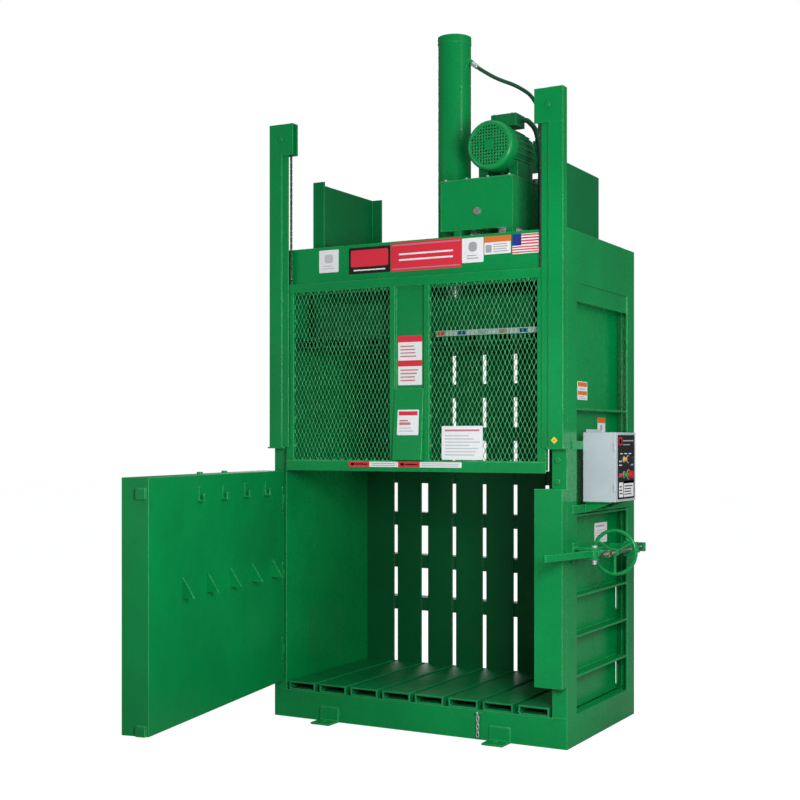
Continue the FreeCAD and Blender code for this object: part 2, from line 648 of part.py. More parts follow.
def door_hooks():
    pieces = []
    for k in range(5):
        x = "door_width * %.3f" % (0.10 + 0.17 * k)
        pieces.append(triangle("dog_%d" % (k + 1), x, "dog_level", "dog_size", "dog_size * 1.5",
                               "dog_thick"))
    for k in range(4):
        x = "door_width * %.3f" % (0.16 + 0.17 * k)
        post = block("hook_post_%d" % (k + 1), (x, x + " + hook_wide"), ("door_inner", "door_inner + 8"),
                     ("hook_level", "hook_level + hook_high"))
        nose = block("hook_nose_%d" % (k + 1), (x, x + " + hook_wide"),
                     ("door_inner + 8", "door_inner + hook_out"), ("hook_level", "hook_level + 8"))
        tip = block("hook_tip_%d" % (k + 1), (x, x + " + hook_wide"),
                    ("door_inner + hook_out - 8", "door_inner + hook_out"),
                    ("hook_level + 8", "hook_level + hook_high / 2"))
        pieces.append(join("hook_%d" % (k + 1), [post, nose, tip]))
    node(swing(group("bale_hooks", pieces)), "bale_hooks")


def door_lugs():
    """Lugs welded on the door's free end and two knobs on its top edge."""
    far = "door_width - door_overhang"
    deep = ("door_inner - lug - lug_out", "door_inner - lug_out")
    pieces = [
        block("lug_top", (far, far + " + lug_out"), deep, ("door_top - 2 * lug", "door_top - lug")),
        block("lug_foot", (far, far + " + lug_out"), deep, ("door_bottom", "door_bottom + lug")),
    ]
    for k, share in enumerate((0.42, 0.60)):
        pieces.append(rod("door_knob_%d" % (k + 1), ("door_width * %.2f" % share, "door_inner - knob_in",
                                                     "door_top"),
                          "knob_radius", "knob_high"))
    return pieces


def post_knuckles():
    """The fixed middle knuckle of each hinge, welded to the left post by its leaf."""
    knuckles = []
    for k, low in enumerate(HINGES):
        start = low + " + knuckle_height + knuckle_gap / 2"
        stop = low + " + 2 * knuckle_height - knuckle_gap / 2"
        barrel = rod("post_knuckle_%d" % (k + 1), ("hinge_x", "hinge_y", start), "knuckle_radius",
                     "knuckle_height - knuckle_gap")
        leaf = block("post_leaf_%d" % (k + 1), ("hinge_x - leaf_thick / 2", "hinge_x + leaf_thick / 2"),
                     ("hinge_y", "front"), (start, stop))
        bore = rod("post_bore_%d" % (k + 1), ("hinge_x", "hinge_y", low), "pin_radius + fit_gap",
                   "3 * knuckle_height")
        knuckles.append(less("post_hinge_%d" % (k + 1), join("post_leafed_%d" % (k + 1), [barrel, leaf]),
                             [bore]))
    return knuckles


def hinge_pins():
    pins = []
    for k, low in enumerate(HINGES):
        shank = rod("pin_shank_%d" % (k + 1), ("hinge_x", "hinge_y", low + " - 4"), "pin_radius",
                    "3 * knuckle_height + 4.3")
        head = rod("pin_head_%d" % (k + 1), ("hinge_x", "hinge_y", low + " + 3 * knuckle_height + 0.3"),
                   "pin_radius + 4", "5")
        pins.append(join("hinge_pin_%d" % (k + 1), [shank, head]))
    node(group("pins", pins), "hinge_pins")


# ---------------------------------------------------------------- strike box and latch

def strike_box():
    """A folded channel on the right post, narrower towards its foot on the outer side."""
    across = ("side - strike_width", "side")
    deep = ("front - strike_depth", "front")
    whole = block("strike_whole", across, deep, ("strike_bottom", "strike_top"))
    hollow = block("strike_hollow", ("side - strike_width + strike_wall", "side - strike_wall"),
                   ("front - strike_depth + strike_wall", "front"),
                   ("strike_bottom + strike_wall", "strike_top - strike_wall"))
    node(less("strike", whole, [hollow]), "strike_box")


def latch_bracket():
    low = "latch_level - lever_high / 2 - ear_gap - ear_thick"
    high = "latch_level + lever_high / 2 + ear_gap"
    parts = [block("latch_back", ("side", "side + plate"), ("pivot_y - 40", "pivot_y + 26"),
                   (low + " - 20", high + " + ear_thick + 20"))]
    for name, level in (("low", low), ("high", high)):
        parts.append(block("latch_ear_" + name, ("side + plate", "pivot_x"),
                           ("pivot_y - 26", "pivot_y + 26"),
                           (level, level + " + ear_thick")))
        parts.append(rod("latch_ear_end_" + name, ("pivot_x", "pivot_y", level), "26", "ear_thick"))
    bore = rod("latch_ear_bore", ("pivot_x", "pivot_y", low), "latch_pin + fit_gap", "lever_high * 3")
    node(less("latch_mount", join("latch_mount_parts", parts), [bore]), "latch_bracket")


def latch_pin():
    low = "latch_level - lever_high / 2 - ear_gap - ear_thick"
    tall = "lever_high + 2 * ear_gap + 2 * ear_thick"
    shank = rod("latch_pin_shank", ("pivot_x", "pivot_y", low + " - 24"), "latch_pin", tall + " + 24")
    head = rod("latch_pin_head", ("pivot_x", "pivot_y", low + " + %s + 0.2" % tall), "15", "9")
    reach = rod("latch_pin_top", ("pivot_x", "pivot_y", low + " + %s" % tall), "latch_pin", "0.2")
    nut = rod("latch_pin_nut", ("pivot_x", "pivot_y", low + " - 12.2"), "14", "12")
    lock = rod("latch_pin_lock", ("pivot_x", "pivot_y", low + " - 22"), "12", "8")
    node(join("latch_pin_whole", [shank, head, reach, nut, lock]), "latch_pin_bolt")


def latch_lever():
    """A bell crank: a long arm that hooks over the door, and a short fork that the nut drives."""
    level = "latch_level - lever_high / 2"
    arm = block("lever_arm", ("-lever_bar / 2", "lever_bar / 2"), ("-lever_reach", "0"),
                ("0", "lever_high"))
    tip = rod("lever_tip", ("0", "-lever_reach", "0"), "lever_bar / 2", "lever_high")
    turn = FreeCAD.Rotation(FreeCAD.Vector(0, 0, 1), -value("lever_angle"))
    long_arm = join("lever_long", [arm, tip])
    place(long_arm, ("pivot_x", "pivot_y", level), turn)
    boss = rod("lever_boss", ("pivot_x", "pivot_y", level), "boss_radius", "lever_high")
    crank = block("lever_crank", ("0", "crank + 16"), ("-13", "13"), ("0", "lever_high"))
    gap = block("lever_gap", ("crank - nut_high / 2 - 7", "crank + 20"), ("-14", "14"),
                ("lever_high / 2 - nut_high / 2 - 0.3", "lever_high / 2 + nut_high / 2 + 0.3"))
    slot = block("lever_slot", ("crank - trunnion - 4", "crank + 20"),
                 ("-trunnion - slot_gap", "trunnion + slot_gap"), ("-1", "lever_high + 1"))
    fork = less("lever_fork", crank, [gap, slot])
    place(fork, ("pivot_x", "pivot_y", level), FreeCAD.Rotation(FreeCAD.Vector(0, 0, 1),
                                                                value("crank_angle")))
    bore = rod("lever_bore", ("pivot_x", "pivot_y", level), "latch_pin + fit_gap", "lever_high")
    node(less("lever", join("lever_parts", [long_arm, boss, fork]), [bore]), "latch_lever")


def latch_screw():
    """The screw with its hand wheel and the toothed wheel that its pawl would hold."""
    shank = rod("screw_shank", ("screw_x", "front + screw_front", "latch_level"), "screw_radius",
                "screw_back - screw_front", ALONG_Y)
    collar = rod("screw_collar", ("screw_x", "front + bearing_back - 12.4", "latch_level"), "20", "12",
                 ALONG_Y)
    node(join("screw", [shank, collar]), "latch_screw")
    nut = block("nut_body", ("screw_x - 15", "screw_x + 15"), ("0 - nut_long / 2", "nut_long / 2"),
                ("latch_level - nut_high / 2", "latch_level + nut_high / 2"))
    place(nut, ("screw_x - 15", "pivot_y + crank * tan(crank_angle) - nut_long / 2",
                "latch_level - nut_high / 2"))
    pins = rod("nut_pins", ("screw_x", "pivot_y + crank * tan(crank_angle)",
                            "latch_level - lever_high / 2 - 2"),
               "trunnion", "lever_high + 4")
    bore = rod("nut_bore", ("screw_x", "front", "latch_level"), "screw_radius + fit_gap", "screw_back",
               ALONG_Y)
    node(less("nut", join("nut_parts", [nut, pins]), [bore]), "latch_nut")
    middle = ("screw_x", "front + hand_wheel_back", "latch_level")
    rim = doc.addObject("Part::Torus", "hand_wheel_rim")
    bind(rim, "Radius1", "hand_wheel_radius")
    bind(rim, "Radius2", "rim_radius")
    place(rim, middle, ALONG_Y)
    hub = rod("hand_wheel_hub", ("screw_x", "front + hand_wheel_back - hub_long / 2", "latch_level"),
              "hub_radius", "hub_long", ALONG_Y)
    spokes = []
    for k in range(3):
        turn = FreeCAD.Rotation(FreeCAD.Vector(0, 1, 0), 180 + 120 * k)
        spokes.append(rod("hand_wheel_spoke_%d" % (k + 1), middle, "spoke_radius", "hand_wheel_radius",
                          turn))
    hole = rod("hand_wheel_bore", ("screw_x", "front + hand_wheel_back - hub_long", "latch_level"),
               "screw_radius", "hub_long * 2", ALONG_Y)
    node(less("hand_wheel", join("hand_wheel_parts", [rim, hub] + spokes), [hole]), "latch_hand_wheel")
    disc = rod("star_disc", ("screw_x", "front + star_back - star_thick / 2", "latch_level"), "star_radius",
               "star_thick", ALONG_Y)
    notches = [rod("star_bore", ("screw_x", "front + star_back - star_thick", "latch_level"),
                   "screw_radius",
                   "star_thick * 2", ALONG_Y)]
    for k in range(12):
        angle = 30 * k
        notches.append(rod("star_notch_%d" % (k + 1),
                           ("screw_x + star_radius * cos(%d)" % angle, "front + star_back - star_thick / 2",
                            "latch_level + star_radius * sin(%d)" % angle), "8", "star_thick", ALONG_Y))
    node(less("star", disc, notches), "latch_star_wheel")


def screw_block():
    """The screw's far bearing, on a bracket that stands on a rib of the right side."""
    rib_top = "910 + rib_thick / 2"
    ends = ("front + bearing_back", "front + bearing_back + bearing_long")
    parts = [
        block("bearing_head", ("screw_x - bearing_wide / 2", "screw_x + bearing_wide / 2"), ends,
              ("latch_level - bearing_wide / 2", "latch_level + bearing_wide / 2")),
        block("bearing_arm", ("side", "screw_x - bearing_wide / 2"), ends, (rib_top, "latch_level + 12")),
        block("bearing_foot", ("sheet_out + 8", "side"), ("front + bearing_back - 24",
                                                          "front + bearing_back + 48"),
              (rib_top, rib_top + " + 10")),
    ]
    bore = rod("bearing_bore", ("screw_x", "front + bearing_back", "latch_level"), "screw_radius + fit_gap",
               "bearing_long", ALONG_Y)
    node(less("bearing", join("bearing_parts", parts), [bore]), "screw_bearing_block")


# ---------------------------------------------------------------- press

def platen():
    deep = ("front + platen_front", "front + platen_back")
    parts = []
    for k in range(8):
        middle = "wire_pitch * %.1f" % (k - 3.5)
        parts.append(frame_tube("platen_channel_%d" % (k + 1),
                                (middle + " - channel_width / 2", middle + " + channel_width / 2"), deep,
                                ("platen_bottom", "platen_bottom + platen_channel"), "channel_wall", "y"))
    parts.append(block("platen_sheet", ("-platen_half", "platen_half"), deep,
                       ("platen_bottom + platen_channel", "platen_floor")))
    for k, share in enumerate((0.14, 0.5, 0.86)):
        middle = "front + platen_front + %.2f * (platen_back - platen_front)" % share
        parts.append(frame_tube("platen_beam_%d" % (k + 1),
                                ("-guide_out + guide_wall + guide_flange",
                                 "guide_out - guide_wall - guide_flange"),
                                (middle + " - platen_beam_wide / 2", middle + " + platen_beam_wide / 2"),
                                ("platen_floor", "platen_beam_top"), "platen_beam_wall", "x"))
    boss = block("platen_cap_plate", ("-rod_boss * 1.6", "rod_boss * 1.6"),
                 ("bore_y - rod_boss * 1.6", "bore_y + rod_boss * 1.6"), ("platen_beam_top", "platen_cap"))
    node(join("platen_whole", parts + [boss]), "platen")


def platen_guide(side):
    """A tall channel that rides through the deck and keeps the platen square."""
    word = "left" if side < 0 else "right"
    high = ("platen_floor", "guide_top")
    parts = [block(word + "_guide_web", span(side, "guide_out - guide_wall", "guide_out"),
                   ("front + guide_front", "front + guide_back"), high)]
    for name, low in (("front", "guide_front"), ("rear", "guide_back - guide_wall")):
        parts.append(block("%s_guide_%s" % (word, name),
                           span(side, "guide_out - guide_wall - guide_flange", "guide_out - guide_wall"),
                           ("front + " + low, "front + %s + guide_wall" % low), high))
    if side < 0:
        spot = ("-guide_out + guide_wall + brace_thick", "front + guide_front + guide_wall",
                "side_top + 60")
        backwards = FreeCAD.Rotation(FreeCAD.Vector(-1, 0, 0), FreeCAD.Vector(0, 0, 1),
                                     FreeCAD.Vector(0, 1, 0), "XYZ")
        parts.append(wedge("left_guide_brace", spot, (("0", "brace_thick"), ("0", "brace_long")),
                           (("0", "brace_thick"), ("0", "10")), "brace_high", backwards))
    return join(word + "_guide", parts)


def ram():
    node(rod("rod", ("0", "bore_y", "platen_cap"), "rod_radius", "piston_bottom - platen_cap"),
         "piston_rod")
    node(rod("piston_disc", ("0", "bore_y", "piston_bottom"), "bore_radius - piston_gap", "piston_long"),
         "piston")


def cylinder():
    """The barrel with its closed top, mounting flange and the port for the pressure hose."""
    parts = [
        rod("barrel_tube", ("0", "bore_y", "barrel_bottom"), "barrel_radius", "barrel_top - barrel_bottom"),
        rod("barrel_cap", ("0", "bore_y", "barrel_top - cap_thick"), "cap_radius", "cap_thick"),
        block("barrel_flange", ("-flange_wide / 2", "flange_wide / 2"),
              ("bore_y - flange_wide / 2", "bore_y + flange_wide / 2"), ("side_top", "flange_top")),
        rod("barrel_port", ("barrel_radius - 6", "bore_y", "port_level"), "14", "port_long", PORT_TURN),
    ]
    bore = rod("barrel_bore", ("0", "bore_y", "barrel_bottom"), "bore_radius",
               "barrel_top - cap_thick - barrel_bottom")
    node(less("barrel", join("barrel_parts", parts), [bore]), "cylinder_barrel")
    node(ring("gland", ("0", "bore_y", "barrel_bottom"), "bore_radius", "rod_radius + fit_gap",
              "gland_long"),
         "cylinder_gland")


def flange_bolts():
    """Hex heads on the cylinder flange, and the two heads under the right mast."""
    bolts = []
    inset = "flange_wide / 2 - 28"
    for k, (x, y) in enumerate(((-1, -1), (-1, 1), (1, -1), (1, 1))):
        bolts.append(hex_bolt("flange_bolt_%d" % (k + 1),
                              ("%d * (%s)" % (x, inset), "bore_y + %d * (%s)" % (y, inset), "flange_top"),
                              UP))
    for k, level in enumerate(("post_bolt_low", "post_bolt_high")):
        bolts.append(hex_bolt("post_bolt_%d" % (k + 1), ("side - 45", "front", level), FACING_FRONT))
    node(group("bolts", bolts), "frame_bolts")


def hex_bolt(name, spot, turn):
    across = 15
    points = [("%.3f" % (across * math.cos(math.radians(60 * k))),
               "%.3f" % (across * math.sin(math.radians(60 * k)))) for k in range(6)]
    return pad(name, points, "10", spot, turn)


# ---------------------------------------------------------------- power unit

def tank():
    across = ("tank_left", "tank_right")
    deep = ("front + tank_front", "front + tank_back")
    whole = block("tank_whole", across, deep, ("tank_bottom", "tank_top - tank_lid"))
    hollow = block("tank_hollow", ("tank_left + tank_wall", "tank_right - tank_wall"),
                   ("front + tank_front + tank_wall", "front + tank_back - tank_wall"),
                   ("tank_bottom + tank_wall", "tank_top - tank_lid"))
    parts = [less("tank_shell", whole, [hollow])]
    for k, x in enumerate(("tank_left + 70", "tank_right - tank_foot")):
        for j, y in enumerate(("front + tank_front + 8", "front + tank_back - tank_foot - 8")):
            parts.append(block("tank_foot_%d_%d" % (k + 1, j + 1), (x, x + " + tank_foot"),
                               (y, y + " + tank_foot"), ("side_top", "tank_bottom")))
    node(join("tank", parts), "oil_tank")
    lid = block("lid_sheet", ("tank_left - 3", "tank_right + 3"),
                ("front + tank_front - 3", "front + tank_back + 3"), ("tank_top - tank_lid", "tank_top"))
    node(lid, "tank_lid")
    gauge = rod("gauge", ("tank_left + 0.52 * (tank_right - tank_left)", "front + tank_front",
                          "tank_bottom + gauge_high"), "gauge_radius", "12", FACING_FRONT)
    node(gauge, "sight_plug")
    neck = rod("filler_neck", ("tank_right - 50", "front + tank_back - 50", "tank_top"), "20", "26")
    cap = rod("filler_top", ("tank_right - 50", "front + tank_back - 50", "tank_top + 26"), "32", "24")
    node(join("filler", [neck, cap]), "filler_cap")


def on_shaft(along):
    return ("motor_x", along, "motor_z")


def motor():
    """Motor on its feet: fan cover in front, finned frame, and the rotor through it."""
    y0 = "front + motor_front"
    body_y = y0 + " + cover_long"
    shell = ring("motor_shell", on_shaft(body_y), "motor_radius", "motor_radius - 26", "motor_long",
                 ALONG_Y)
    end = ring("motor_end", on_shaft(body_y + " + motor_long - 14"), "motor_radius - 20",
               "shaft_radius + fit_gap", "14", ALONG_Y)
    front_end = ring("motor_front_end", on_shaft(body_y), "motor_radius - 20", "shaft_radius + fit_gap",
                     "14", ALONG_Y)
    parts = [shell, end, front_end]
    for k in range(24):
        angle = 15 * k
        if 240 < angle < 300:
            continue
        fin = block("motor_fin_%d" % (k + 1), ("motor_radius - 4", "motor_radius + fin_high"),
                    ("-fin_thick / 2", "fin_thick / 2"), ("20", "motor_long - 16"))
        turned = group("motor_fin_set_%d" % (k + 1), [fin])
        spin = FreeCAD.Rotation(FreeCAD.Vector(0, 0, 1), angle)
        place(turned, on_shaft(body_y), ALONG_Y.multiply(spin))
        parts.append(turned)
    for side in (-1, 1):
        parts.append(block("motor_foot_%d" % (side + 2), ("motor_x + %d * 85 - 24" % side,
                                                          "motor_x + %d * 85 + 24" % side),
                           (body_y + " + 30", body_y + " + motor_long - 30"), ("tank_top", "motor_z - 70")))
    node(join("motor", parts), "motor_frame")
    cover_points = [("0", "0"), ("cover_radius - 18", "0"), ("cover_radius", "18"),
                    ("cover_radius", "cover_long"),
                    ("cover_radius - cover_wall", "cover_long"),
                    ("cover_radius - cover_wall", "18 + cover_wall"),
                    ("cover_radius - 18 - cover_wall", "cover_wall"), ("0", "cover_wall")]
    shape = spun("fan_shell", cover_points, on_shaft(y0), FreeCAD.Rotation())
    tie = ring("fan_cover_tie", on_shaft(body_y + " - 8"), "cover_radius - cover_wall", "motor_radius - 30",
               "8", ALONG_Y)
    node(join("fan_cover_whole", [shape, tie]), "fan_cover")
    shaft = rod("rotor_shaft", on_shaft(y0 + " + 12"), "shaft_radius",
                "cover_long - 12 + motor_long + bell_long / 2", ALONG_Y)
    core = rod("rotor_core", on_shaft(body_y + " + 40"), "motor_radius - 28", "motor_long - 80", ALONG_Y)
    disc = rod("rotor_disc", on_shaft(y0 + " + 40"), "fan_radius - 4", "5", ALONG_Y)
    vanes = []
    for k in range(6):
        turn = FreeCAD.Rotation(FreeCAD.Vector(0, 1, 0), 60 * k)
        vane = block("rotor_vane_%d" % (k + 1), ("-2", "2"), ("0", "24"), ("20", "fan_radius - 4"))
        holder = group("rotor_vane_set_%d" % (k + 1), [vane])
        place(holder, on_shaft(y0 + " + 16"), turn)
        vanes.append(holder)
    node(join("rotor", [shaft, core, disc] + vanes), "motor_rotor")


def pump():
    body_y = "front + motor_front + cover_long + motor_long"
    bell = ring("bell", ("motor_x", body_y, "motor_z"), "bell_radius", "bell_radius - 10", "bell_long",
                ALONG_Y)
    flange = ring("bell_flange", ("motor_x", body_y, "motor_z"), "bell_radius + 14", "bell_radius - 10",
                  "12", ALONG_Y)
    end = ring("bell_end", ("motor_x", body_y + " + bell_long - 10", "motor_z"), "bell_radius - 9",
               "shaft_radius", "10", ALONG_Y)
    node(join("bell_whole", [bell, flange, end]), "pump_bell")
    pump_y = body_y + " + bell_long"
    body = block("pump_body", ("motor_x - pump_wide / 2", "motor_x + pump_wide / 2"),
                 (pump_y, pump_y + " + pump_long"), ("motor_z - pump_wide / 2", "motor_z + pump_wide / 2"))
    spigot = rod("pump_spigot", ("motor_x", body_y + " + bell_long / 2 + 12.4", "motor_z"),
                 "shaft_radius - fit_gap",
                 "bell_long / 2 - 12.4", ALONG_Y)
    node(join("pump_whole", [body, spigot]), "gear_pump")
    valve = block("valve_body", ("motor_x + pump_wide / 2", "motor_x + pump_wide / 2 + valve_wide"),
                  (pump_y + " + 5", pump_y + " + 5 + valve_long"),
                  ("motor_z - 20", "motor_z - 20 + valve_high"))
    coil = rod("valve_coil", ("motor_x + pump_wide / 2 + valve_wide / 2", pump_y + " + 5 - 46",
                              "motor_z + valve_high / 2"), "20", "46", ALONG_Y)
    port = rod("valve_port", ("motor_x + pump_wide / 2 + 20", pump_y + " + 25",
                              "motor_z - 20 + valve_high"), "15", "16")
    node(join("valve", [valve, coil, port]), "valve_block")


def terminal_box():
    base_y = "front + motor_front + cover_long + 60"
    body = block("terminal_body", ("motor_x - box_wide / 2 + 16", "motor_x + box_wide / 2 + 16"),
                 (base_y, base_y + " + box_long"), ("motor_z + motor_radius + fin_high",
                                                    "motor_z + motor_radius + fin_high + box_high"))
    neck = block("terminal_neck", ("motor_x - 30", "motor_x + 30"),
                 (base_y + " + 20", base_y + " + box_long - 20"),
                 ("motor_z + motor_radius - 10", "motor_z + motor_radius + fin_high"))
    cut = rod("terminal_seat", ("motor_x", base_y, "motor_z"), "motor_radius + fit_gap", "box_long",
              ALONG_Y)
    node(less("terminal", join("terminal_parts", [body, neck]), [cut]), "terminal_box")


def bent_tube(name, points, radius, hole=0):
    """A hose: straight runs joined by arcs as large as the runs allow. Returns its solid."""
    spots = [FreeCAD.Vector(*p) for p in points]
    edges = []
    start = spots[0]
    radii = []
    for k in range(1, len(spots) - 1):
        before = spots[k - 1] - spots[k]
        after = spots[k + 1] - spots[k]
        turn = math.pi - before.getAngle(after)
        reach = 0.45 * min(before.Length, after.Length)
        bend = reach / math.tan(turn / 2)
        radii.append(round(bend, 1))
        into = FreeCAD.Vector(before).normalize()
        out = FreeCAD.Vector(after).normalize()
        arc_start = spots[k] + into * reach
        arc_end = spots[k] + out * reach
        toward = (into + out).normalize()
        middle = spots[k] + toward * (bend / math.cos(turn / 2) - bend)
        edges.append(Part.LineSegment(start, arc_start).toShape())
        edges.append(Part.Arc(arc_start, middle, arc_end).toShape())
        start = arc_end
    edges.append(Part.LineSegment(start, spots[-1]).toShape())
    path = Part.Wire(edges)
    heading = (spots[1] - spots[0]).normalize()
    circle = Part.Wire([Part.makeCircle(radius, spots[0], heading)])
    solid = path.makePipeShell([circle], True, False)
    expected = math.pi * radius ** 2 * path.Length
    print(name, "length", round(path.Length), "radii", radii, "volume ratio",
          round(solid.Volume / expected, 3))
    if abs(solid.Volume / expected - 1) > 0.02:
        raise ValueError(name + " has the wrong volume")
    return solid


def hoses():
    """The pressure hose, the return hose and the motor's conduit, each held at both ends."""
    port = PORT_TURN.multVec(FreeCAD.Vector(0, 0, 1))
    reach = port * value("port_long")
    x_port = value("barrel_radius - 6") + reach.x
    y_bore = value("bore_y")
    z_port = value("port_level") + reach.z
    pump_y = value("front + motor_front + cover_long + motor_long + bell_long")
    valve_x, valve_y = value("motor_x + pump_wide / 2 + 20"), pump_y + 25
    valve_z = value("motor_z - 20 + valve_high") + 16
    route = [(x_port, y_bore, z_port), (x_port + port.x * 54, y_bore, z_port + port.z * 54),
             (x_port + 134, y_bore + 10, z_port - 96), (x_port + 240, y_bore + 26, z_port - 142),
             (x_port + 322, y_bore + 44, z_port - 200), (x_port + 358, y_bore + 66, z_port - 286),
             (valve_x + 20, valve_y - 12, valve_z + 66), (valve_x, valve_y, valve_z + 26),
             (valve_x, valve_y, valve_z)]
    node(feature("pressure_hose_solid", bent_tube("pressure_hose", route, value("hose_radius"))),
         "pressure_hose")
    fit_x = value("motor_x - pump_wide / 2")
    tank_z = value("tank_top")
    low_x = value("tank_left + 60")
    pump_z = value("motor_z")
    route = [(fit_x, pump_y + 60, pump_z), (fit_x - 44, pump_y + 60, pump_z),
             (fit_x - 92, pump_y + 34, pump_z - 34), (low_x + 6, pump_y - 24, pump_z - 86),
             (low_x, pump_y - 60, tank_z + 44), (low_x, pump_y - 60, tank_z)]
    node(feature("return_hose_solid", bent_tube("return_hose", route, value("return_radius"))),
         "return_hose")
    box_x = value("motor_x + box_wide / 2 + 16")
    box_y = value("front + motor_front + cover_long + 60 + box_long / 2")
    box_z = value("motor_z + motor_radius + fin_high + box_high / 2")
    lid_x = value("tank_right") + 34
    route = [(box_x, box_y, box_z), (box_x + 36, box_y, box_z), (box_x + 76, box_y + 16, box_z - 44),
             (lid_x + 2, box_y + 30, box_z - 128), (lid_x + 6, box_y + 38, box_z - 215),
             (lid_x + 3, box_y + 42, box_z - 305), (lid_x + 1, box_y + 44, box_z - 400),
             (lid_x, box_y + 46, box_z - 490), (lid_x, box_y + 46, value("side_top"))]
    node(feature("conduit_solid", bent_tube("motor_conduit", route, value("conduit_radius"))),
         "motor_conduit")


# ---------------------------------------------------------------- control box

def cabinet():
    deep = ("front + cabinet_front", "front + cabinet_back")
    high = ("cabinet_bottom", "cabinet_top")
    whole = block("cabinet_whole", ("cabinet_in", "cabinet_out"), deep, high)
    hollow = block("cabinet_hollow", ("cabinet_in + cabinet_wall", "cabinet_out"),
                   ("front + cabinet_front + cabinet_wall", "front + cabinet_back - cabinet_wall"),
                   ("cabinet_bottom + cabinet_wall", "cabinet_top - cabinet_wall"))
    tab = block("cabinet_tab", ("cabinet_in", "cabinet_in + 3"),
                ("front + cabinet_front + 40", "front + cabinet_back - 40"),
                ("cabinet_top", "cabinet_top + 16"))
    tab_low = block("cabinet_tab_low", ("cabinet_in", "cabinet_in + 3"),
                    ("front + cabinet_front + 40", "front + cabinet_back - 40"),
                    ("cabinet_bottom - 16", "cabinet_bottom"))
    node(join("cabinet", [less("cabinet_shell", whole, [hollow]), tab, tab_low]), "control_box")
    rails = []
    for name, level in (("low", "rail_low"), ("up", "rail_up")):
        rails.append(block("rail_" + name, ("side", "side + box_stand"), ("front + 60", "back - 40"),
                           (level, level + " + rail_high")))
    for k, y in enumerate(("front + cabinet_front + 30", "front + cabinet_back - 40")):
        points = [("0", "0"), ("cabinet_deep - 14", "rail_high + 8"),
                  ("cabinet_deep - 14", "cabinet_bottom - rail_low - 4"),
                  ("0", "cabinet_bottom - rail_low - 4")]
        rails.append(pad("rail_gusset_%d" % (k + 1), points, "8", ("cabinet_in", y + " + 8", "rail_low"),
                         FACING_FRONT))
    rails.append(block("rail_shelf", ("cabinet_in + 4", "cabinet_out - 4"), deep,
                       ("cabinet_bottom - 4", "cabinet_bottom")))
    node(join("rails", rails), "box_rails")


def cabinet_door():
    deep = ("front + cabinet_front", "front + cabinet_back")
    high = ("cabinet_bottom", "cabinet_top")
    sheet = block("lid_whole", ("cabinet_out + lid_gap", "lid_out"), deep, high)
    hollow = block("lid_hollow", ("cabinet_out + lid_gap", "lid_out - cabinet_wall"),
                   ("front + cabinet_front + cabinet_wall", "front + cabinet_back - cabinet_wall"),
                   ("cabinet_bottom + cabinet_wall", "cabinet_top - cabinet_wall"))
    plate = block("lid_panel", ("lid_out", "panel_out"),
                  ("front + cabinet_front + 62", "front + cabinet_front + 62 + panel_wide"),
                  ("cabinet_bottom + 50", "cabinet_bottom + 50 + panel_high"))
    barrels = []
    for k, level in enumerate(("cabinet_bottom + 50", "cabinet_top - 90")):
        barrels.append(rod("lid_barrel_%d" % (k + 1), ("lid_out - lid_hinge",
                                                       "front + cabinet_front - lid_hinge", level),
                           "lid_hinge", "40"))
        barrels.append(block("lid_leaf_%d" % (k + 1), ("lid_out - lid_hinge - 2",
                                                       "lid_out - lid_hinge + 2"),
                             ("front + cabinet_front - lid_hinge", "front + cabinet_front"),
                             (level, level + " + 40")))
    holes = [rod("lid_hole_" + name, ("cabinet_out", spot[0], spot[1]), "7 + hole_gap", "lid_thick + 8",
                 ALONG_X)
             for name, spot in CONTROLS.items()]
    node(less("lid", join("lid_parts", [less("lid_pan", sheet, [hollow]), plate] + barrels), holes),
         "control_door")


CONTROLS = {
    "start": ("front + cabinet_front + 112", "cabinet_bottom + 130"),
    "switch": ("front + cabinet_front + 170", "cabinet_bottom + 205"),
    "stop": ("front + cabinet_front + 176", "cabinet_bottom + 130"),
    "lamp": ("front + cabinet_front + 112", "cabinet_bottom + 205"),
}


def control(name, head_radius, head_out, lift):
    """A stem through the door and a head in front of the panel, lifted by its travel."""
    y, z = CONTROLS[name]
    stem = rod(name + "_stem", ("cabinet_out + 6", y, z), "7",
               "lid_thick - 6 + lid_gap + panel_thick + %s" % lift, ALONG_X)
    head = rod(name + "_head", ("panel_out + %s" % lift, y, z), head_radius, head_out, ALONG_X)
    return join(name + "_whole", [stem, head])


def controls():
    node(control("start", "button_radius", "button_out", "5"), "start_button")
    node(control("stop", "stop_radius", "button_out + 4", "6"), "stop_button")
    y, z = CONTROLS["switch"]
    bar = block("switch_bar", ("panel_out + 10", "panel_out + 24"), (y + " - 4", y + " + 4"),
                (z + " - 14", z + " + 14"))
    node(join("switch_whole", [control("switch", "14", "9.7", "0.3"), bar]), "mode_switch")
    node(control("lamp", "10", "10", "0.3"), "power_lamp")


# ---------------------------------------------------------------- small chain on the sill

CHAIN_SLACK = 0.5


def link_shape(centre, turned):
    wire = value("link_wire")
    half_long = value("link_long") / 2 + wire / 2
    half_wide = value("link_wide") / 2 - wire / 2
    straight = half_long - half_wide
    sideways = FreeCAD.Vector(0, 1, 0) if turned else FreeCAD.Vector(1, 0, 0)
    up = FreeCAD.Vector(0, 0, 1)
    right_low = centre + sideways * half_wide - up * straight
    right_high = centre + sideways * half_wide + up * straight
    left_low = centre - sideways * half_wide - up * straight
    left_high = centre - sideways * half_wide + up * straight
    edges = [Part.LineSegment(right_low, right_high).toShape(),
             Part.Arc(right_high, centre + up * half_long, left_high).toShape(),
             Part.LineSegment(left_high, left_low).toShape(),
             Part.Arc(left_low, centre - up * half_long, right_low).toShape()]
    path = Part.Wire(edges)
    circle = Part.Wire([Part.makeCircle(wire / 2, right_low, up)])
    return path.makePipeShell([circle], True, False)


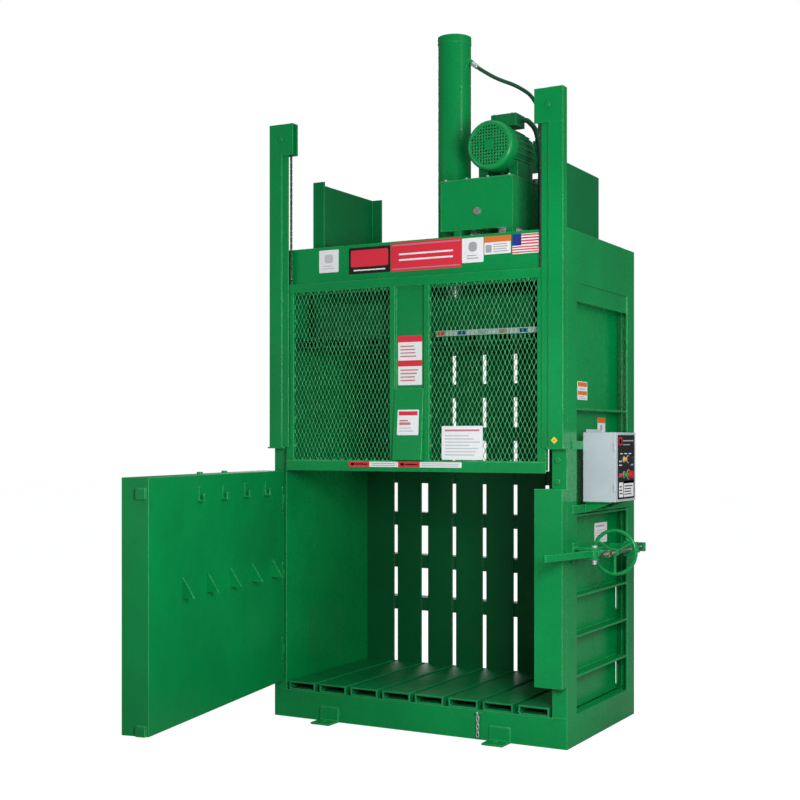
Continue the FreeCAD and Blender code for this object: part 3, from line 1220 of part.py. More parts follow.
def chain_staple():
    """A bent bar welded on the sill, which the tie chain hangs from."""
    low = "staple_level - link_wire"
    y = "front - staple_out - link_wire"
    bar = rod("staple_bar", ("eye_x - staple_half", y + " + link_wire / 2", "staple_level - link_wire / 2"),
              "link_wire / 2", "2 * staple_half", ALONG_X)
    arms = [block("staple_arm_%d" % (k + 1), (x, x + " + link_wire"), (y, "front"), (low, "staple_level"))
            for k, x in enumerate(("eye_x - staple_half - link_wire", "eye_x + staple_half"))]
    return [join("staple", [bar] + arms)]


def tie_chain():
    """A short chain that hangs from its staple on the sill."""
    top = value("staple_level") + CHAIN_SLACK - value("staple_gap") - value("link_long") / 2
    y = value("front - staple_out - link_wire / 2")
    pitch = value("link_long") - CHAIN_SLACK
    links = [link_shape(FreeCAD.Vector(value("eye_x"), y, top - k * pitch), k % 2 == 0)
             for k in range(int(value("link_count")))]
    node(feature("chain_links", Part.makeCompound(links)), "tie_chain")


def build():
    base_frame()
    floor_channels()
    for side in (-1, 1):
        side_frame(side)
        mast(side)
        chain_wheel(side)
    chains_and_weights()
    node(group("guides", [platen_guide(-1), platen_guide(1)]), "platen_guides")
    rear_wall()
    header()
    top_deck()
    cylinder_beams()
    wheel_axles()
    gate()
    gate_handle()
    door_panel()
    door_hooks()
    hinge_pins()
    strike_box()
    latch_bracket()
    latch_pin()
    latch_lever()
    latch_screw()
    screw_block()
    platen()
    ram()
    cylinder()
    flange_bolts()
    tank()
    motor()
    pump()
    terminal_box()
    hoses()
    cabinet()
    cabinet_door()
    controls()
    tie_chain()
    doc.recompute()


def check_and_write():
    for item in doc.Objects:
        if "Invalid" in item.State or "Error" in item.State:
            raise ValueError("%s failed: %s" % (item.Label, item.State))
    os.makedirs("parts", exist_ok=True)
    for part in NODES:
        if part.Shape.isNull() or not part.Shape.isValid():
            raise ValueError(part.Label + " has no valid shape")
        part.Shape.exportStep("parts/%s.step" % part.Label)
    print(len(NODES), "nodes")


build()
check_and_write()
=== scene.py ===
import math
import random

import bpy
from mathutils import Matrix, Vector
from mathutils.geometry import delaunay_2d_cdt


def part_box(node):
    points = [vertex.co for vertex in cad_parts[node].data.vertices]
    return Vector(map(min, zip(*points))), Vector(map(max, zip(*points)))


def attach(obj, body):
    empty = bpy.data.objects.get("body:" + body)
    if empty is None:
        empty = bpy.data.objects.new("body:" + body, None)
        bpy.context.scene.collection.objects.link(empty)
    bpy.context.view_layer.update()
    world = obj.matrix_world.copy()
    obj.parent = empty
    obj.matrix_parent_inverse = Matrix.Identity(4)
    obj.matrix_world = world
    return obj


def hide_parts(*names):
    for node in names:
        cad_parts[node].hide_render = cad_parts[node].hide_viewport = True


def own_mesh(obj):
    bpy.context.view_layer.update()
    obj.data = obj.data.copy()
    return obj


# Looks of a vertical recycling baler. Lengths are millimetres of the part's own frame unless said.

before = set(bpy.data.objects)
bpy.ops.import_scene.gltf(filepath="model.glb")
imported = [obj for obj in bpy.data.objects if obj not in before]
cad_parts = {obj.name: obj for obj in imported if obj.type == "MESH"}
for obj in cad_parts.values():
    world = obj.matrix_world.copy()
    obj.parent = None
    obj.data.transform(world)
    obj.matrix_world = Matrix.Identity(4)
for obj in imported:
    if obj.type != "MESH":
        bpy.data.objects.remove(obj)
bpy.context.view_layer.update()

MM = 0.001
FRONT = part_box("header_plate")[0].y / MM          # the body's front face
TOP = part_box("top_deck")[1].z / MM                # the body's top
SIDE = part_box("right_side_frame")[1].x / MM       # half the body's width
MAST_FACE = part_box("right_mast")[0].y / MM
GATE_LOW, GATE_HIGH = (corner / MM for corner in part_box("gate_frame"))
MESH_LOW, MESH_HIGH = (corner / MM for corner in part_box("mesh_panels"))
LID_LOW, LID_HIGH = (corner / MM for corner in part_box("control_door"))
BOX_LOW, BOX_HIGH = (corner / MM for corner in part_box("control_box"))
BARREL_LOW, BARREL_HIGH = (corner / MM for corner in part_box("cylinder_barrel"))
TANK_LOW, TANK_HIGH = (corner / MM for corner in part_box("oil_tank"))
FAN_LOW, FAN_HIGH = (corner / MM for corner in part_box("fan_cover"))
SHEET_OUT = 770                                   # outer face of the side sheet
LATCH_Z = 932
SCREW_X = 1000
BAY_FRONT, BAY_BACK = FRONT + 124, -FRONT - 108   # the side's recess between its post and its column
RIB_LEVELS = (327, 520, 715, 910, 1107, 1625)     # the ribs in that recess
RIB_SEAM = 6                                      # from a rib's middle to its welds
BASE_SEAM, TOP_PLATE_SEAM = 147, 2240             # heights of the long seams
PORT_LEVEL, PORT_LONG, PORT_TURN = 3505, 34, 130  # the barrel's hose port, leaning outward and down
MOTOR_X = 358                                     # the motor's and the pump's axis
VALVE_PORT_X = MOTOR_X + 48 + 20                  # where the hose meets the valve block's top
VALVE_PORT_Y = FRONT + 150 + 80 + 250 + 110 + 25


# ---------------------------------------------------------------- shader nodes

def add(tree, kind, inputs=None, **settings):
    """A shader node whose inputs are numbers or other nodes' sockets."""
    node = tree.nodes.new("ShaderNode" + kind)
    for key, setting in settings.items():
        setattr(node, key, setting)
    for key, given in (inputs or {}).items():
        if isinstance(given, bpy.types.NodeSocket):
            tree.links.new(given, node.inputs[key])
        else:
            node.inputs[key].default_value = given
    return node


def begin(name, **constants):
    """A new material: its tree, its Principled shader and the place on the object."""
    material = bpy.data.materials.new(name)
    material.use_nodes = True
    tree = material.node_tree
    surface = tree.nodes["Principled BSDF"]
    for key, given in constants.items():
        surface.inputs[key.replace("_", " ")].default_value = given
    place = add(tree, "TexCoord").outputs["Object"]
    return material, tree, surface, place


def noise(tree, place, scale, detail=3.0, rough=0.55, stretch=None):
    if stretch:
        place = add(tree, "Mapping", {"Vector": place, "Scale": stretch}).outputs["Vector"]
    return add(tree, "TexNoise", {"Vector": place, "Scale": scale, "Detail": detail,
                                  "Roughness": rough}).outputs["Fac"]


def spread(tree, given, low, high, to_low=0.0, to_high=1.0):
    """The given value's range low to high, stretched to the range to_low to to_high."""
    return add(tree, "MapRange", {"Value": given, "From Min": low, "From Max": high, "To Min": to_low,
                                  "To Max": to_high}).outputs["Result"]


def blend(tree, share, first, second, mode="MIX"):
    node = add(tree, "Mix", data_type="RGBA", blend_type=mode)
    for socket, given in ((node.inputs[0], share), (node.inputs[6], first), (node.inputs[7], second)):
        if isinstance(given, bpy.types.NodeSocket):
            tree.links.new(given, socket)
        else:
            socket.default_value = given
    return node.outputs[2]


def edges(tree, radius, low=0.93, high=0.999):
    """The rounded normal near sharp edges, and a mask that is 1 on the edges themselves."""
    soft = add(tree, "Bevel", {"Radius": radius}, samples=4).outputs["Normal"]
    true = add(tree, "NewGeometry").outputs["True Normal"]
    dot = add(tree, "VectorMath", {0: soft, 1: true}, operation="DOT_PRODUCT").outputs["Value"]
    return soft, spread(tree, dot, high, low)


def bump(tree, height, depth, strength=1.0, normal=None):
    inputs = {"Height": height, "Distance": depth, "Strength": strength}
    if normal is not None:
        inputs["Normal"] = normal
    return add(tree, "Bump", inputs).outputs["Normal"]


def shade(colour, factor):
    return tuple(min(1.0, channel * factor) for channel in colour[:3]) + (1.0,)


def enamel(name, colour, wave=0.0022, gloss=0.2, edge_highlight_share=0.6):
    """Gloss machine enamel on welded plate: cloudy tone, orange peel, slow waves, a painted highlight on the
    edges, scuffs.
    """
    material, tree, surface, place = begin(name, Specular_IOR_Level=0.3, Coat_Weight=0.08,
                                           Coat_Roughness=0.1)
    cloud = noise(tree, place, 1.3, 4.0)
    fine = noise(tree, place, 16.0, 6.0, 0.65)
    tone = blend(tree, spread(tree, cloud, 0.34, 0.68), shade(colour, 0.84), shade(colour, 1.12))
    tone = blend(tree, spread(tree, fine, 0.56, 0.74, 0.0, 0.35), tone, shade(colour, 0.66))
    runs = noise(tree, place, 7.0, 5.0, 0.6, (6.0, 6.0, 0.35))
    tone = blend(tree, spread(tree, runs, 0.60, 0.80, 0.0, 0.25), tone, shade(colour, 1.35))
    soft, rim = edges(tree, 0.005)
    # Painted highlight: the edges are mixed towards a lighter green, broken up by the fine noise.
    painted_edge_highlight = add(tree, "Math", {0: rim, 1: spread(tree, fine, 0.30, 0.62, 0.25, 1.0)},
               operation="MULTIPLY").outputs[0]
    light = (0.16 + colour[0], 0.42 + colour[1], 0.24 + colour[2], 1.0)
    share = add(tree, "Math", {0: painted_edge_highlight, 1: edge_highlight_share}, operation="MULTIPLY").outputs[0]
    tree.links.new(blend(tree, share, tone, light), surface.inputs["Base Color"])
    tree.links.new(spread(tree, fine, 0.3, 0.75, gloss, gloss + 0.16), surface.inputs["Roughness"])
    slow = bump(tree, noise(tree, place, 3.2, 2.0), wave * 6, 0.5, soft)
    peel = bump(tree, noise(tree, place, 260.0, 2.0), 0.0006, 0.35, slow)
    tree.links.new(peel, surface.inputs["Normal"])
    return material


def metal(name, colour, rough, grain=(1.0, 1.0, 1.0), wear=0.3, metallic=1.0, depth=0.0004):
    """Bare or plated metal with a fine grain, darker spots of wear and a painted highlight on its edges."""
    material, tree, surface, place = begin(name, Metallic=metallic)
    lines = noise(tree, place, 90.0, 5.0, 0.6, grain)
    spots = noise(tree, place, 28.0, 6.0, 0.7)
    tone = blend(tree, spread(tree, lines, 0.3, 0.7), shade(colour, 0.78), shade(colour, 1.12))
    tone = blend(tree, spread(tree, spots, 0.55, 0.75, 0.0, wear), tone, shade(colour, 0.4))
    soft, rim = edges(tree, 0.0015)
    # Painted highlight: the edges are mixed towards a lighter tone of the metal.
    tree.links.new(blend(tree, spread(tree, rim, 0.0, 1.0, 0.0, 0.4), tone, shade(colour, 1.5)),
                   surface.inputs["Base Color"])
    tree.links.new(spread(tree, spots, 0.3, 0.7, rough, rough + 0.18), surface.inputs["Roughness"])
    tree.links.new(bump(tree, lines, depth, 0.5, soft), surface.inputs["Normal"])
    return material


def moulded(name, colour, rough=0.35, pebble=420.0, depth=0.0002, **constants):
    """Moulded plastic or rubber: a fine pebble, slight tone changes and a painted highlight on the edges."""
    material, tree, surface, place = begin(name, Specular_IOR_Level=0.4, **constants)
    grain = noise(tree, place, pebble, 3.0)
    cloud = noise(tree, place, 22.0, 4.0)
    soft, rim = edges(tree, 0.001)
    tone = blend(tree, spread(tree, cloud, 0.35, 0.7), shade(colour, 0.85), shade(colour, 1.15))
    # Painted highlight: the edges are mixed towards a lighter tone.
    tone = blend(tree, spread(tree, rim, 0.0, 1.0, 0.0, 0.4), tone, shade(colour, 1.6))
    tree.links.new(tone, surface.inputs["Base Color"])
    tree.links.new(spread(tree, cloud, 0.3, 0.7, rough, rough + 0.12), surface.inputs["Roughness"])
    tree.links.new(bump(tree, grain, depth, 0.6, soft), surface.inputs["Normal"])
    return material


def vinyl(name, colour):
    """Printed vinyl film: an even field with the faintest mottle and dust."""
    material, tree, surface, place = begin(name, Specular_IOR_Level=0.35, Coat_Weight=0.15)
    dust = noise(tree, place, 55.0, 6.0, 0.7)
    tone = blend(tree, spread(tree, dust, 0.45, 0.75, 0.0, 0.3), shade(colour, 1.0), shade(colour, 0.78))
    tree.links.new(tone, surface.inputs["Base Color"])
    tree.links.new(spread(tree, dust, 0.3, 0.7, 0.28, 0.45), surface.inputs["Roughness"])
    tree.links.new(bump(tree, noise(tree, place, 30.0, 2.0), 0.0004, 0.4), surface.inputs["Normal"])
    return material


def powder_coat(name, colour):
    """Textured powder coat of the control box."""
    material, tree, surface, place = begin(name, Specular_IOR_Level=0.4)
    grain = noise(tree, place, 520.0, 2.0)
    cloud = noise(tree, place, 5.0, 5.0)
    smear = noise(tree, place, 12.0, 5.0, 0.6, (1.0, 1.0, 0.2))
    soft, rim = edges(tree, 0.003)
    tone = blend(tree, spread(tree, cloud, 0.35, 0.7), shade(colour, 0.92), shade(colour, 1.05))
    tone = blend(tree, spread(tree, smear, 0.55, 0.8, 0.0, 0.3), tone, shade(colour, 0.8))
    # Painted highlight: the edges are mixed towards a lighter grey.
    tone = blend(tree, spread(tree, rim, 0.0, 1.0, 0.0, 0.45), tone, shade(colour, 1.4))
    tree.links.new(tone, surface.inputs["Base Color"])
    tree.links.new(spread(tree, cloud, 0.3, 0.7, 0.36, 0.5), surface.inputs["Roughness"])
    tree.links.new(bump(tree, grain, 0.0003, 0.5, soft), surface.inputs["Normal"])
    return material


GREEN = (0.0, 0.285, 0.067)
DEEP_GREEN = (0.0, 0.20, 0.055)

FINISH = {
    "green": enamel("green_enamel", GREEN),
    "dark_green": enamel("deep_green_enamel", DEEP_GREEN, gloss=0.38),
    "chain_steel": metal("oiled_chain_steel", (0.20, 0.27, 0.21), 0.32, wear=0.55),
    "bright_steel": metal("ground_chromed_steel", (0.75, 0.76, 0.77), 0.12, (1.0, 1.0, 9.0), 0.08, 0.8),
    "zinc": metal("zinc_plate", (0.66, 0.67, 0.67), 0.30, wear=0.25, metallic=0.55),
    "bronze": metal("worn_bronze", (0.62, 0.34, 0.20), 0.34, wear=0.5),
    "hose_rubber": moulded("hose_rubber", (0.010, 0.105, 0.045), 0.42, 160.0, 0.0006),
    "enclosure_grey": powder_coat("grey_powder_coat", (0.50, 0.56, 0.60)),
    "red_plastic": moulded("red_plastic", (0.62, 0.02, 0.02), 0.25),
    "green_plastic": moulded("green_plastic", (0.02, 0.34, 0.08), 0.25),
    "black_plastic": moulded("black_plastic", (0.018, 0.018, 0.02), 0.32),
    "amber_lens": moulded("amber_lens", (0.85, 0.42, 0.04), 0.12, 60.0, Coat_Weight=0.5),
    "cast_iron": metal("painted_casting", (0.03, 0.16, 0.07), 0.45, wear=0.5, metallic=0.15,
                       depth=0.0012),
}
DOOR_PAINT = enamel("door_enamel", shade(GREEN, 0.98)[:3], wave=0.004, gloss=0.33)
# Painted shade: a darker copy of the deep green for the rear wall and platen inside the chamber, where shade
# falls.
CHAMBER_SHADE_PAINT = enamel("chamber_shaded_enamel", shade(DEEP_GREEN, 0.52)[:3], wave=0.003, gloss=0.42,
                       edge_highlight_share=0.35)
FLOOR_PAINT = enamel("worn_floor_enamel", shade(DEEP_GREEN, 1.15)[:3], wave=0.002, gloss=0.36,
                     edge_highlight_share=0.6)
# The strands' edges take the full painted highlight, as glints.
MESH_PAINT = enamel("mesh_enamel", GREEN, wave=0.0, gloss=0.2, edge_highlight_share=1.0)
WELD_PAINT = enamel("weld_enamel", shade(GREEN, 1.05)[:3], wave=0.0, gloss=0.26, edge_highlight_share=0.2)
# The chamber's rear wall and platen take the darker copy that paints shade.
SPECIAL = {"chamber_door": DOOR_PAINT, "rear_wall": CHAMBER_SHADE_PAINT, "floor_channels": FLOOR_PAINT,
           "platen": CHAMBER_SHADE_PAINT, "platen_guides": FINISH["dark_green"], "frame_bolts": FINISH["green"],
           "wheel_axles": FINISH["green"]}

VINYL = {word: vinyl("film_" + word, colour) for word, colour in {
    "white": (0.93, 0.93, 0.95), "red": (0.80, 0.028, 0.055), "black": (0.012, 0.012, 0.014),
    "orange": (0.80, 0.20, 0.03), "blue": (0.02, 0.04, 0.30), "grey": (0.42, 0.42, 0.46),
    "yellow": (0.85, 0.70, 0.05), "pale": (0.62, 0.64, 0.70), "pink": (0.62, 0.20, 0.26)}.items()}


def finish_frame():
    """Each carried-over CAD piece takes its own paint, or else the finish of its material slot."""
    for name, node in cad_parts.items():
        slot = node.data.materials[0].name.split(".")[0]
        node.data.materials[0] = SPECIAL.get(name, FINISH.get(slot, FINISH["green"]))


# ---------------------------------------------------------------- mesh tools

class Shape:
    """A mesh under construction, in millimetres. tint is the number of the material of new faces."""

    def __init__(self):
        self.points, self.faces, self.tints, self.tint = [], [], [], 0

    def add(self, points, faces):
        start = len(self.points)
        self.points += [tuple(point) for point in points]
        self.faces += [[start + i for i in face] for face in faces]
        self.tints += [self.tint] * len(faces)

    def block(self, low, high, turn=None):
        """A box, turned by the matrix if one is given."""
        corners = [Vector((x, y, z)) for x in (low[0], high[0]) for y in (low[1], high[1])
                   for z in (low[2], high[2])]
        if turn:
            corners = [turn @ corner for corner in corners]
        self.add(corners, [(0, 1, 3, 2), (4, 6, 7, 5), (0, 4, 5, 1), (2, 3, 7, 6), (0, 2, 6, 4),
                           (1, 5, 7, 3)])

    def loft(self, rings, closed=False, capped=True):
        """A skin through rings of equal length."""
        count = len(rings[0])
        faces = []
        last = len(rings) if closed else len(rings) - 1
        for k in range(last):
            low, high = k * count, (k + 1) % len(rings) * count
            faces += [(low + i, low + (i + 1) % count, high + (i + 1) % count, high + i)
                      for i in range(count)]
        if capped and not closed:
            last_ring = (len(rings) - 1) * count
            faces += [tuple(range(count))[::-1], tuple(range(last_ring, last_ring + count))]
        self.add([point for ring in rings for point in ring], faces)

    def spun(self, centre, axis, profile, sides=24, closed=False):
        """A turned form: profile lists (distance along the axis, radius)."""
        axis = Vector(axis).normalized()
        across = axis.orthogonal().normalized()
        over = axis.cross(across)
        rings = [[Vector(centre) + axis * along + (across * math.cos(a) + over * math.sin(a)) * radius
                  for a in (2 * math.pi * i / sides for i in range(sides))] for along, radius in profile]
        self.loft(rings, closed=closed)

    def tube(self, line, radii, sides=8):
        """A round bar along a line, with a radius for each of its points."""
        rings = []
        over = None
        for k, point in enumerate(line):
            ahead = (line[min(k + 1, len(line) - 1)] - line[max(k - 1, 0)]).normalized()
            across = ahead.orthogonal().normalized() if over is None else over.cross(ahead).normalized()
            over = ahead.cross(across)
            rings.append([point + (across * math.cos(a) + over * math.sin(a)) * radii[k]
                          for a in (2 * math.pi * i / sides for i in range(sides))])
        self.loft(rings)

    def prism(self, outline, depth):
        """A flat outline pushed along the depth vector."""
        depth = Vector(depth)
        self.loft([[Vector(point) for point in outline], [Vector(point) + depth for point in outline]])

    def piece(self, name, finishes, body, slot=None, smooth=35, bevel=0.0):
        """The mesh as an object that rides on a body."""
        mesh = bpy.data.meshes.new(name)
        mesh.from_pydata([Vector(point) * MM for point in self.points], [], self.faces)
        mesh.validate()
        finishes = finishes if isinstance(finishes, list) else [finishes]
        for material in finishes:
            mesh.materials.append(material)
        if len(finishes) > 1:
            mesh.polygons.foreach_set("material_index", self.tints)
        mesh.shade_smooth()
        mesh.set_sharp_from_angle(angle=math.radians(smooth))
        mesh.update()
        piece = bpy.data.objects.new(name, mesh)
        bpy.context.scene.collection.objects.link(piece)
        if bevel:
            rounding = piece.modifiers.new("edges", "BEVEL")
            rounding.width, rounding.segments = bevel * MM, 2
            rounding.limit_method = "ANGLE"
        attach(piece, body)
        return piece


def sheet_with_holes(shape, outline, holes, place, thick):
    """A flat sheet. place(u, v, w) gives the point at u and v of the drawing and w of the depth."""
    loops = [outline] + holes
    flat = [Vector(point) for loop in loops for point in loop]
    edge_list, at = [], 0
    for loop in loops:
        edge_list += [(at + i, at + (i + 1) % len(loop)) for i in range(len(loop))]
        at += len(loop)
    points, _, faces, _, _, _ = delaunay_2d_cdt(flat, edge_list, [], 1, 1e-4)
    centres = [sum((Vector(p) for p in hole), Vector((0, 0))) / len(hole) for hole in holes]
    reach = [max((Vector(p) - centre).length for p in hole) for hole, centre in zip(holes, centres)]

    def solid(face):
        middle = sum((points[i] for i in face), Vector((0, 0))) / len(face)
        return all((middle - centre).length > size * 0.96 for centre, size in zip(centres, reach))

    faces = [face for face in faces if solid(face)]
    shape.add([place(p.x, p.y, 0) for p in points], faces)
    shape.add([place(p.x, p.y, thick) for p in points], [face[::-1] for face in faces])
    for loop in loops:
        shape.loft([[place(u, v, 0) for u, v in loop], [place(u, v, thick) for u, v in loop]],
                   capped=False)


# ---------------------------------------------------------------- expanded metal of the gate

DIAMOND_WIDE, DIAMOND_HIGH = 23.4, 50.8
STRAND, STRAND_DEEP, BOND_HIGH = 2.6, 2.4, 9.0


def strand(shape, start, stop, lean):
    """One flat strand between two bonds, its section turned as the stretched sheet turns it."""
    ahead = (stop - start).normalized()
    depth = Vector((0, 1, 0))
    across = ahead.cross(depth).normalized()
    wide = (across * math.cos(lean) + depth * math.sin(lean)) * STRAND / 2
    thin = (depth * math.cos(lean) - across * math.sin(lean)) * STRAND_DEEP / 2
    section = (wide + thin, wide - thin, -wide - thin, thin - wide)
    shape.loft([[point + corner for corner in section] for point in (start, stop)])


def expanded_panel(side):
    """One panel of stretched diamond mesh between the gate's bars, with its tack welds."""
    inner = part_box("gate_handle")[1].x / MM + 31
    low_x, high_x = (inner, MESH_HIGH.x) if side > 0 else (MESH_LOW.x, -inner)
    low_z, high_z = MESH_LOW.z, MESH_HIGH.z
    depth = (MESH_LOW.y + MESH_HIGH.y) / 2
    shape = Shape()
    columns = int((high_x - low_x) / (DIAMOND_WIDE / 2)) + 1
    rows = int((high_z - low_z) / (DIAMOND_HIGH / 2)) + 1
    step_x, step_z = (high_x - low_x) / columns, (high_z - low_z) / rows
    for i in range(columns + 1):
        for j in range(rows + 1):
            if (i + j) % 2:
                continue
            x, z = low_x + i * step_x, low_z + j * step_z
            half = BOND_HIGH / 2
            shape.block((x - STRAND * 0.9, depth - 1.3, max(low_z - 2, z - half)),
                        (x + STRAND * 0.9, depth + 1.3, min(high_z + 2, z + half)))
            for way in (-1, 1):
                if not 0 <= i + way <= columns or j == rows:
                    continue
                start = Vector((x + way * STRAND * 0.35, depth, z + half - 1))
                stop = Vector((x + way * (step_x - STRAND * 0.35), depth, z + step_z - half + 1))
                strand(shape, start, stop, 0.55 * way)
    for z in (low_z + 2, high_z - 2):
        for k in range(1, 12):
            x = low_x + (high_x - low_x) * k / 12
            shape.spun((x, depth - 1.5, z), (0, 0, 1), [(-6, 0.5), (-3, 3.2), (3, 3.2), (6, 0.5)], 8)
    for x in (low_x + 2, high_x - 2):
        for k in range(1, 12):
            z = low_z + (high_z - low_z) * k / 12
            shape.spun((x, depth - 1.5, z), (0, 0, 1), [(-9, 0.5), (-5, 3.0), (5, 3.0), (9, 0.5)], 8)
    word = "right" if side > 0 else "left"
    piece = shape.piece("expanded_mesh_" + word, MESH_PAINT, "gate", "green")
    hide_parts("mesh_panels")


# ---------------------------------------------------------------- roller chain

WHEEL_X, WHEEL_Z, PITCH_RADIUS, TEETH = 763, 3068, 47, 18
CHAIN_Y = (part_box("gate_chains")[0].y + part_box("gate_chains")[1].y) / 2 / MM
PITCH = 2 * PITCH_RADIUS * math.sin(math.pi / TEETH)


def link_outline(tip, waist):
    """The waisted plate between two pins, in the plane of the chain: points of (along, across)."""
    half = PITCH / 2
    front_angles = [math.radians(degrees) for degrees in range(-90, 91, 30)]
    points = [(half + tip * math.cos(a), tip * math.sin(a)) for a in front_angles]
    points += [(0, waist)]
    points += [(-half + tip * math.cos(a), tip * math.sin(a))
               for a in (math.radians(d) for d in range(90, 271, 30))]
    points += [(0, -waist)]
    return [Vector((along, 0, across)) for along, across in points]


def chain_link(shape, pin_a, pin_b, outer):
    """One link in the plane Y = CHAIN_Y: two plates, and the roller or pin at its start."""
    ahead = (pin_b - pin_a).normalized()
    turn = Matrix.Rotation(-math.atan2(ahead.z, ahead.x), 4, "Y")
    middle = (pin_a + pin_b) / 2
    gap, thick = (3.1, 1.3) if outer else (1.8, 1.2)
    for way in (-1, 1):
        outline = [middle + turn @ point for point in link_outline(5.6, 4.0)]
        base = Vector((0, way * gap if way > 0 else way * gap - thick, 0))
        shape.prism([point + base for point in outline], (0, thick, 0))
    shape.spun(pin_a - Vector((0, 1.8, 0)), (0, 1, 0), [(0, 4.6), (3.6, 4.6)], 10)
    shape.spun(pin_a - Vector((0, 4.5, 0)), (0, 1, 0), [(0, 1.6), (0.4, 2.2), (8.6, 2.2), (9, 1.6)], 8)


def chain_run(name, x, low, high):
    """Links down a straight run, from its high end to its low end."""
    shape = Shape()
    count = max(2, round((high - low) / PITCH))
    pins = [Vector((x, CHAIN_Y, high - (high - low) * k / count)) for k in range(count + 1)]
    for k in range(count):
        chain_link(shape, pins[k], pins[k + 1], k % 2 == 0)
    return shape.piece(name, FINISH["chain_steel"], "frame", "chain_steel", 50)


def chains():
    """The gate's chains, up to the wheels and over them. The run below a wheel shortens as the gate rises."""
    for side, word in ((-1, "left"), (1, "right")):
        inner = side * (WHEEL_X - PITCH_RADIUS)
        leaves = WHEEL_Z - 4 * PITCH      # the run beside the teeth above this height keeps its length
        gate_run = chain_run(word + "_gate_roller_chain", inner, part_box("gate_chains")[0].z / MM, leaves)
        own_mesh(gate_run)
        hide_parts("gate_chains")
        over = Shape()
        angles = [math.pi * k / (TEETH / 2) for k in range(TEETH // 2 + 1)]
        pins = [Vector((side * WHEEL_X + PITCH_RADIUS * math.cos(a), CHAIN_Y,
                        WHEEL_Z + PITCH_RADIUS * math.sin(a)))
                for a in angles]
        for k in range(len(pins) - 1):
            chain_link(over, pins[k], pins[k + 1], k % 2 == 0)
        drops = [Vector((inner, CHAIN_Y, WHEEL_Z - PITCH * k)) for k in range(5)]
        for k in range(4):
            chain_link(over, drops[k], drops[k + 1], k % 2 == 0)
        over.piece(word + "_chain_over_wheel", FINISH["chain_steel"], "frame", "chain_steel", 50)


# ---------------------------------------------------------------- welds

BEAD = random.Random(7)


def weld(shape, start, stop, radius=3.6, step=4.5):
    """A rippled weld bead from start to stop, half sunk in its seam."""
    start, stop = Vector(start), Vector(stop)
    count = max(3, int((stop - start).length / step))
    line = [start.lerp(stop, k / count) for k in range(count + 1)]
    radii = [radius * (0.35 if k in (0, count) else (1.0 if k % 2 else 0.8) + BEAD.uniform(-0.06, 0.06))
             for k in range(count + 1)]
    shape.tube(line, radii, 6)


def stitched(shape, start, stop, each=60, pitch=170, radius=3.6):
    """Stitch welds: short beads along a seam, evenly spaced."""
    start, stop = Vector(start), Vector(stop)
    length = (stop - start).length
    count = max(1, round(length / pitch))
    ahead = (stop - start).normalized()
    for k in range(count):
        middle = start + ahead * length * (k + 0.5) / count
        weld(shape, middle - ahead * each / 2, middle + ahead * each / 2, radius)


def ring_weld(shape, centre, axis, radius, thick=4.0, ripples=72):
    """A weld that runs all round a tube."""
    axis = Vector(axis).normalized()
    across = axis.orthogonal().normalized()
    over = axis.cross(across)
    rings = []
    for k in range(ripples):
        a = 2 * math.pi * k / ripples
        out = across * math.cos(a) + over * math.sin(a)
        size = thick * (1.0 if k % 2 else 0.82)
        rings.append([Vector(centre) + out * (radius + size * math.cos(b)) + axis * size * math.sin(b)
                      for b in (2 * math.pi * i / 6 for i in range(6))])
    shape.loft(rings, closed=True)


def body_welds():
    """Seams of the ribs, posts, base and masts."""
    shape = Shape()
    for side in (-1, 1):
        for level in RIB_LEVELS:
            for z in (level - RIB_SEAM, level + RIB_SEAM):
                stitched(shape, (side * (SHEET_OUT + 1), BAY_FRONT, z),
                         (side * (SHEET_OUT + 1), BAY_BACK, z), 55, 150)
            weld(shape, (side * 800, BAY_FRONT + 1, level - RIB_SEAM),
                 (side * 832, BAY_FRONT + 1, level - RIB_SEAM))
            weld(shape, (side * 800, BAY_BACK - 1, level - RIB_SEAM),
                 (side * 828, BAY_BACK - 1, level - RIB_SEAM))
        weld(shape, (side * 775, FRONT - 0.5, BASE_SEAM), (side * 836, FRONT - 0.5, BASE_SEAM), 4)
        weld(shape, (side * (SIDE - 1), BAY_BACK, TOP_PLATE_SEAM),
             (side * (SIDE - 1), BAY_FRONT, TOP_PLATE_SEAM), 2.6)
        weld(shape, (side * (SIDE - 1), BAY_BACK, BASE_SEAM),
             (side * (SIDE - 1), FRONT + 6, BASE_SEAM), 3)
        weld(shape, (side * 761, FRONT - 0.5, 2250), (side * 761, FRONT - 0.5, 2480), 3)
        stitched(shape, (side * 764, MAST_FACE + 50, 1500),
                 (side * 764, MAST_FACE + 50, 2200), 50, 220, 3.4)
        for z in (2984, 3148):
            weld(shape, (side * 764, MAST_FACE + 1, z), (side * 838, MAST_FACE + 1, z), 2.2)
    return shape.piece("body_welds", WELD_PAINT, "frame", "green", 60)


def top_welds():
    """Seams of the cylinder's flange and cap, and of the tank."""
    shape = Shape()
    bore_y = (BARREL_LOW.y + BARREL_HIGH.y) / 2
    ring_weld(shape, (0, bore_y, TOP + 31), (0, 0, 1), 90, 5)
    ring_weld(shape, (0, bore_y, BARREL_HIGH.z - 40), (0, 0, 1), 89.5, 1.8, 90)
    for x in (TANK_LOW.x, TANK_HIGH.x):
        weld(shape, (x, TANK_LOW.y + 0.5, TANK_LOW.z + 50), (x, TANK_LOW.y + 0.5, TANK_HIGH.z - 4), 2.6)
        weld(shape, (x, TANK_HIGH.y - 0.5, TANK_LOW.z + 50), (x, TANK_HIGH.y - 0.5, TANK_HIGH.z - 4), 2.6)
    stitched(shape, (TANK_LOW.x + 8, TANK_LOW.y, TANK_LOW.z + 49),
             (TANK_HIGH.x - 8, TANK_LOW.y, TANK_LOW.z + 49), 60, 130, 3)
    return shape.piece("top_welds", WELD_PAINT, "frame", "green", 60)


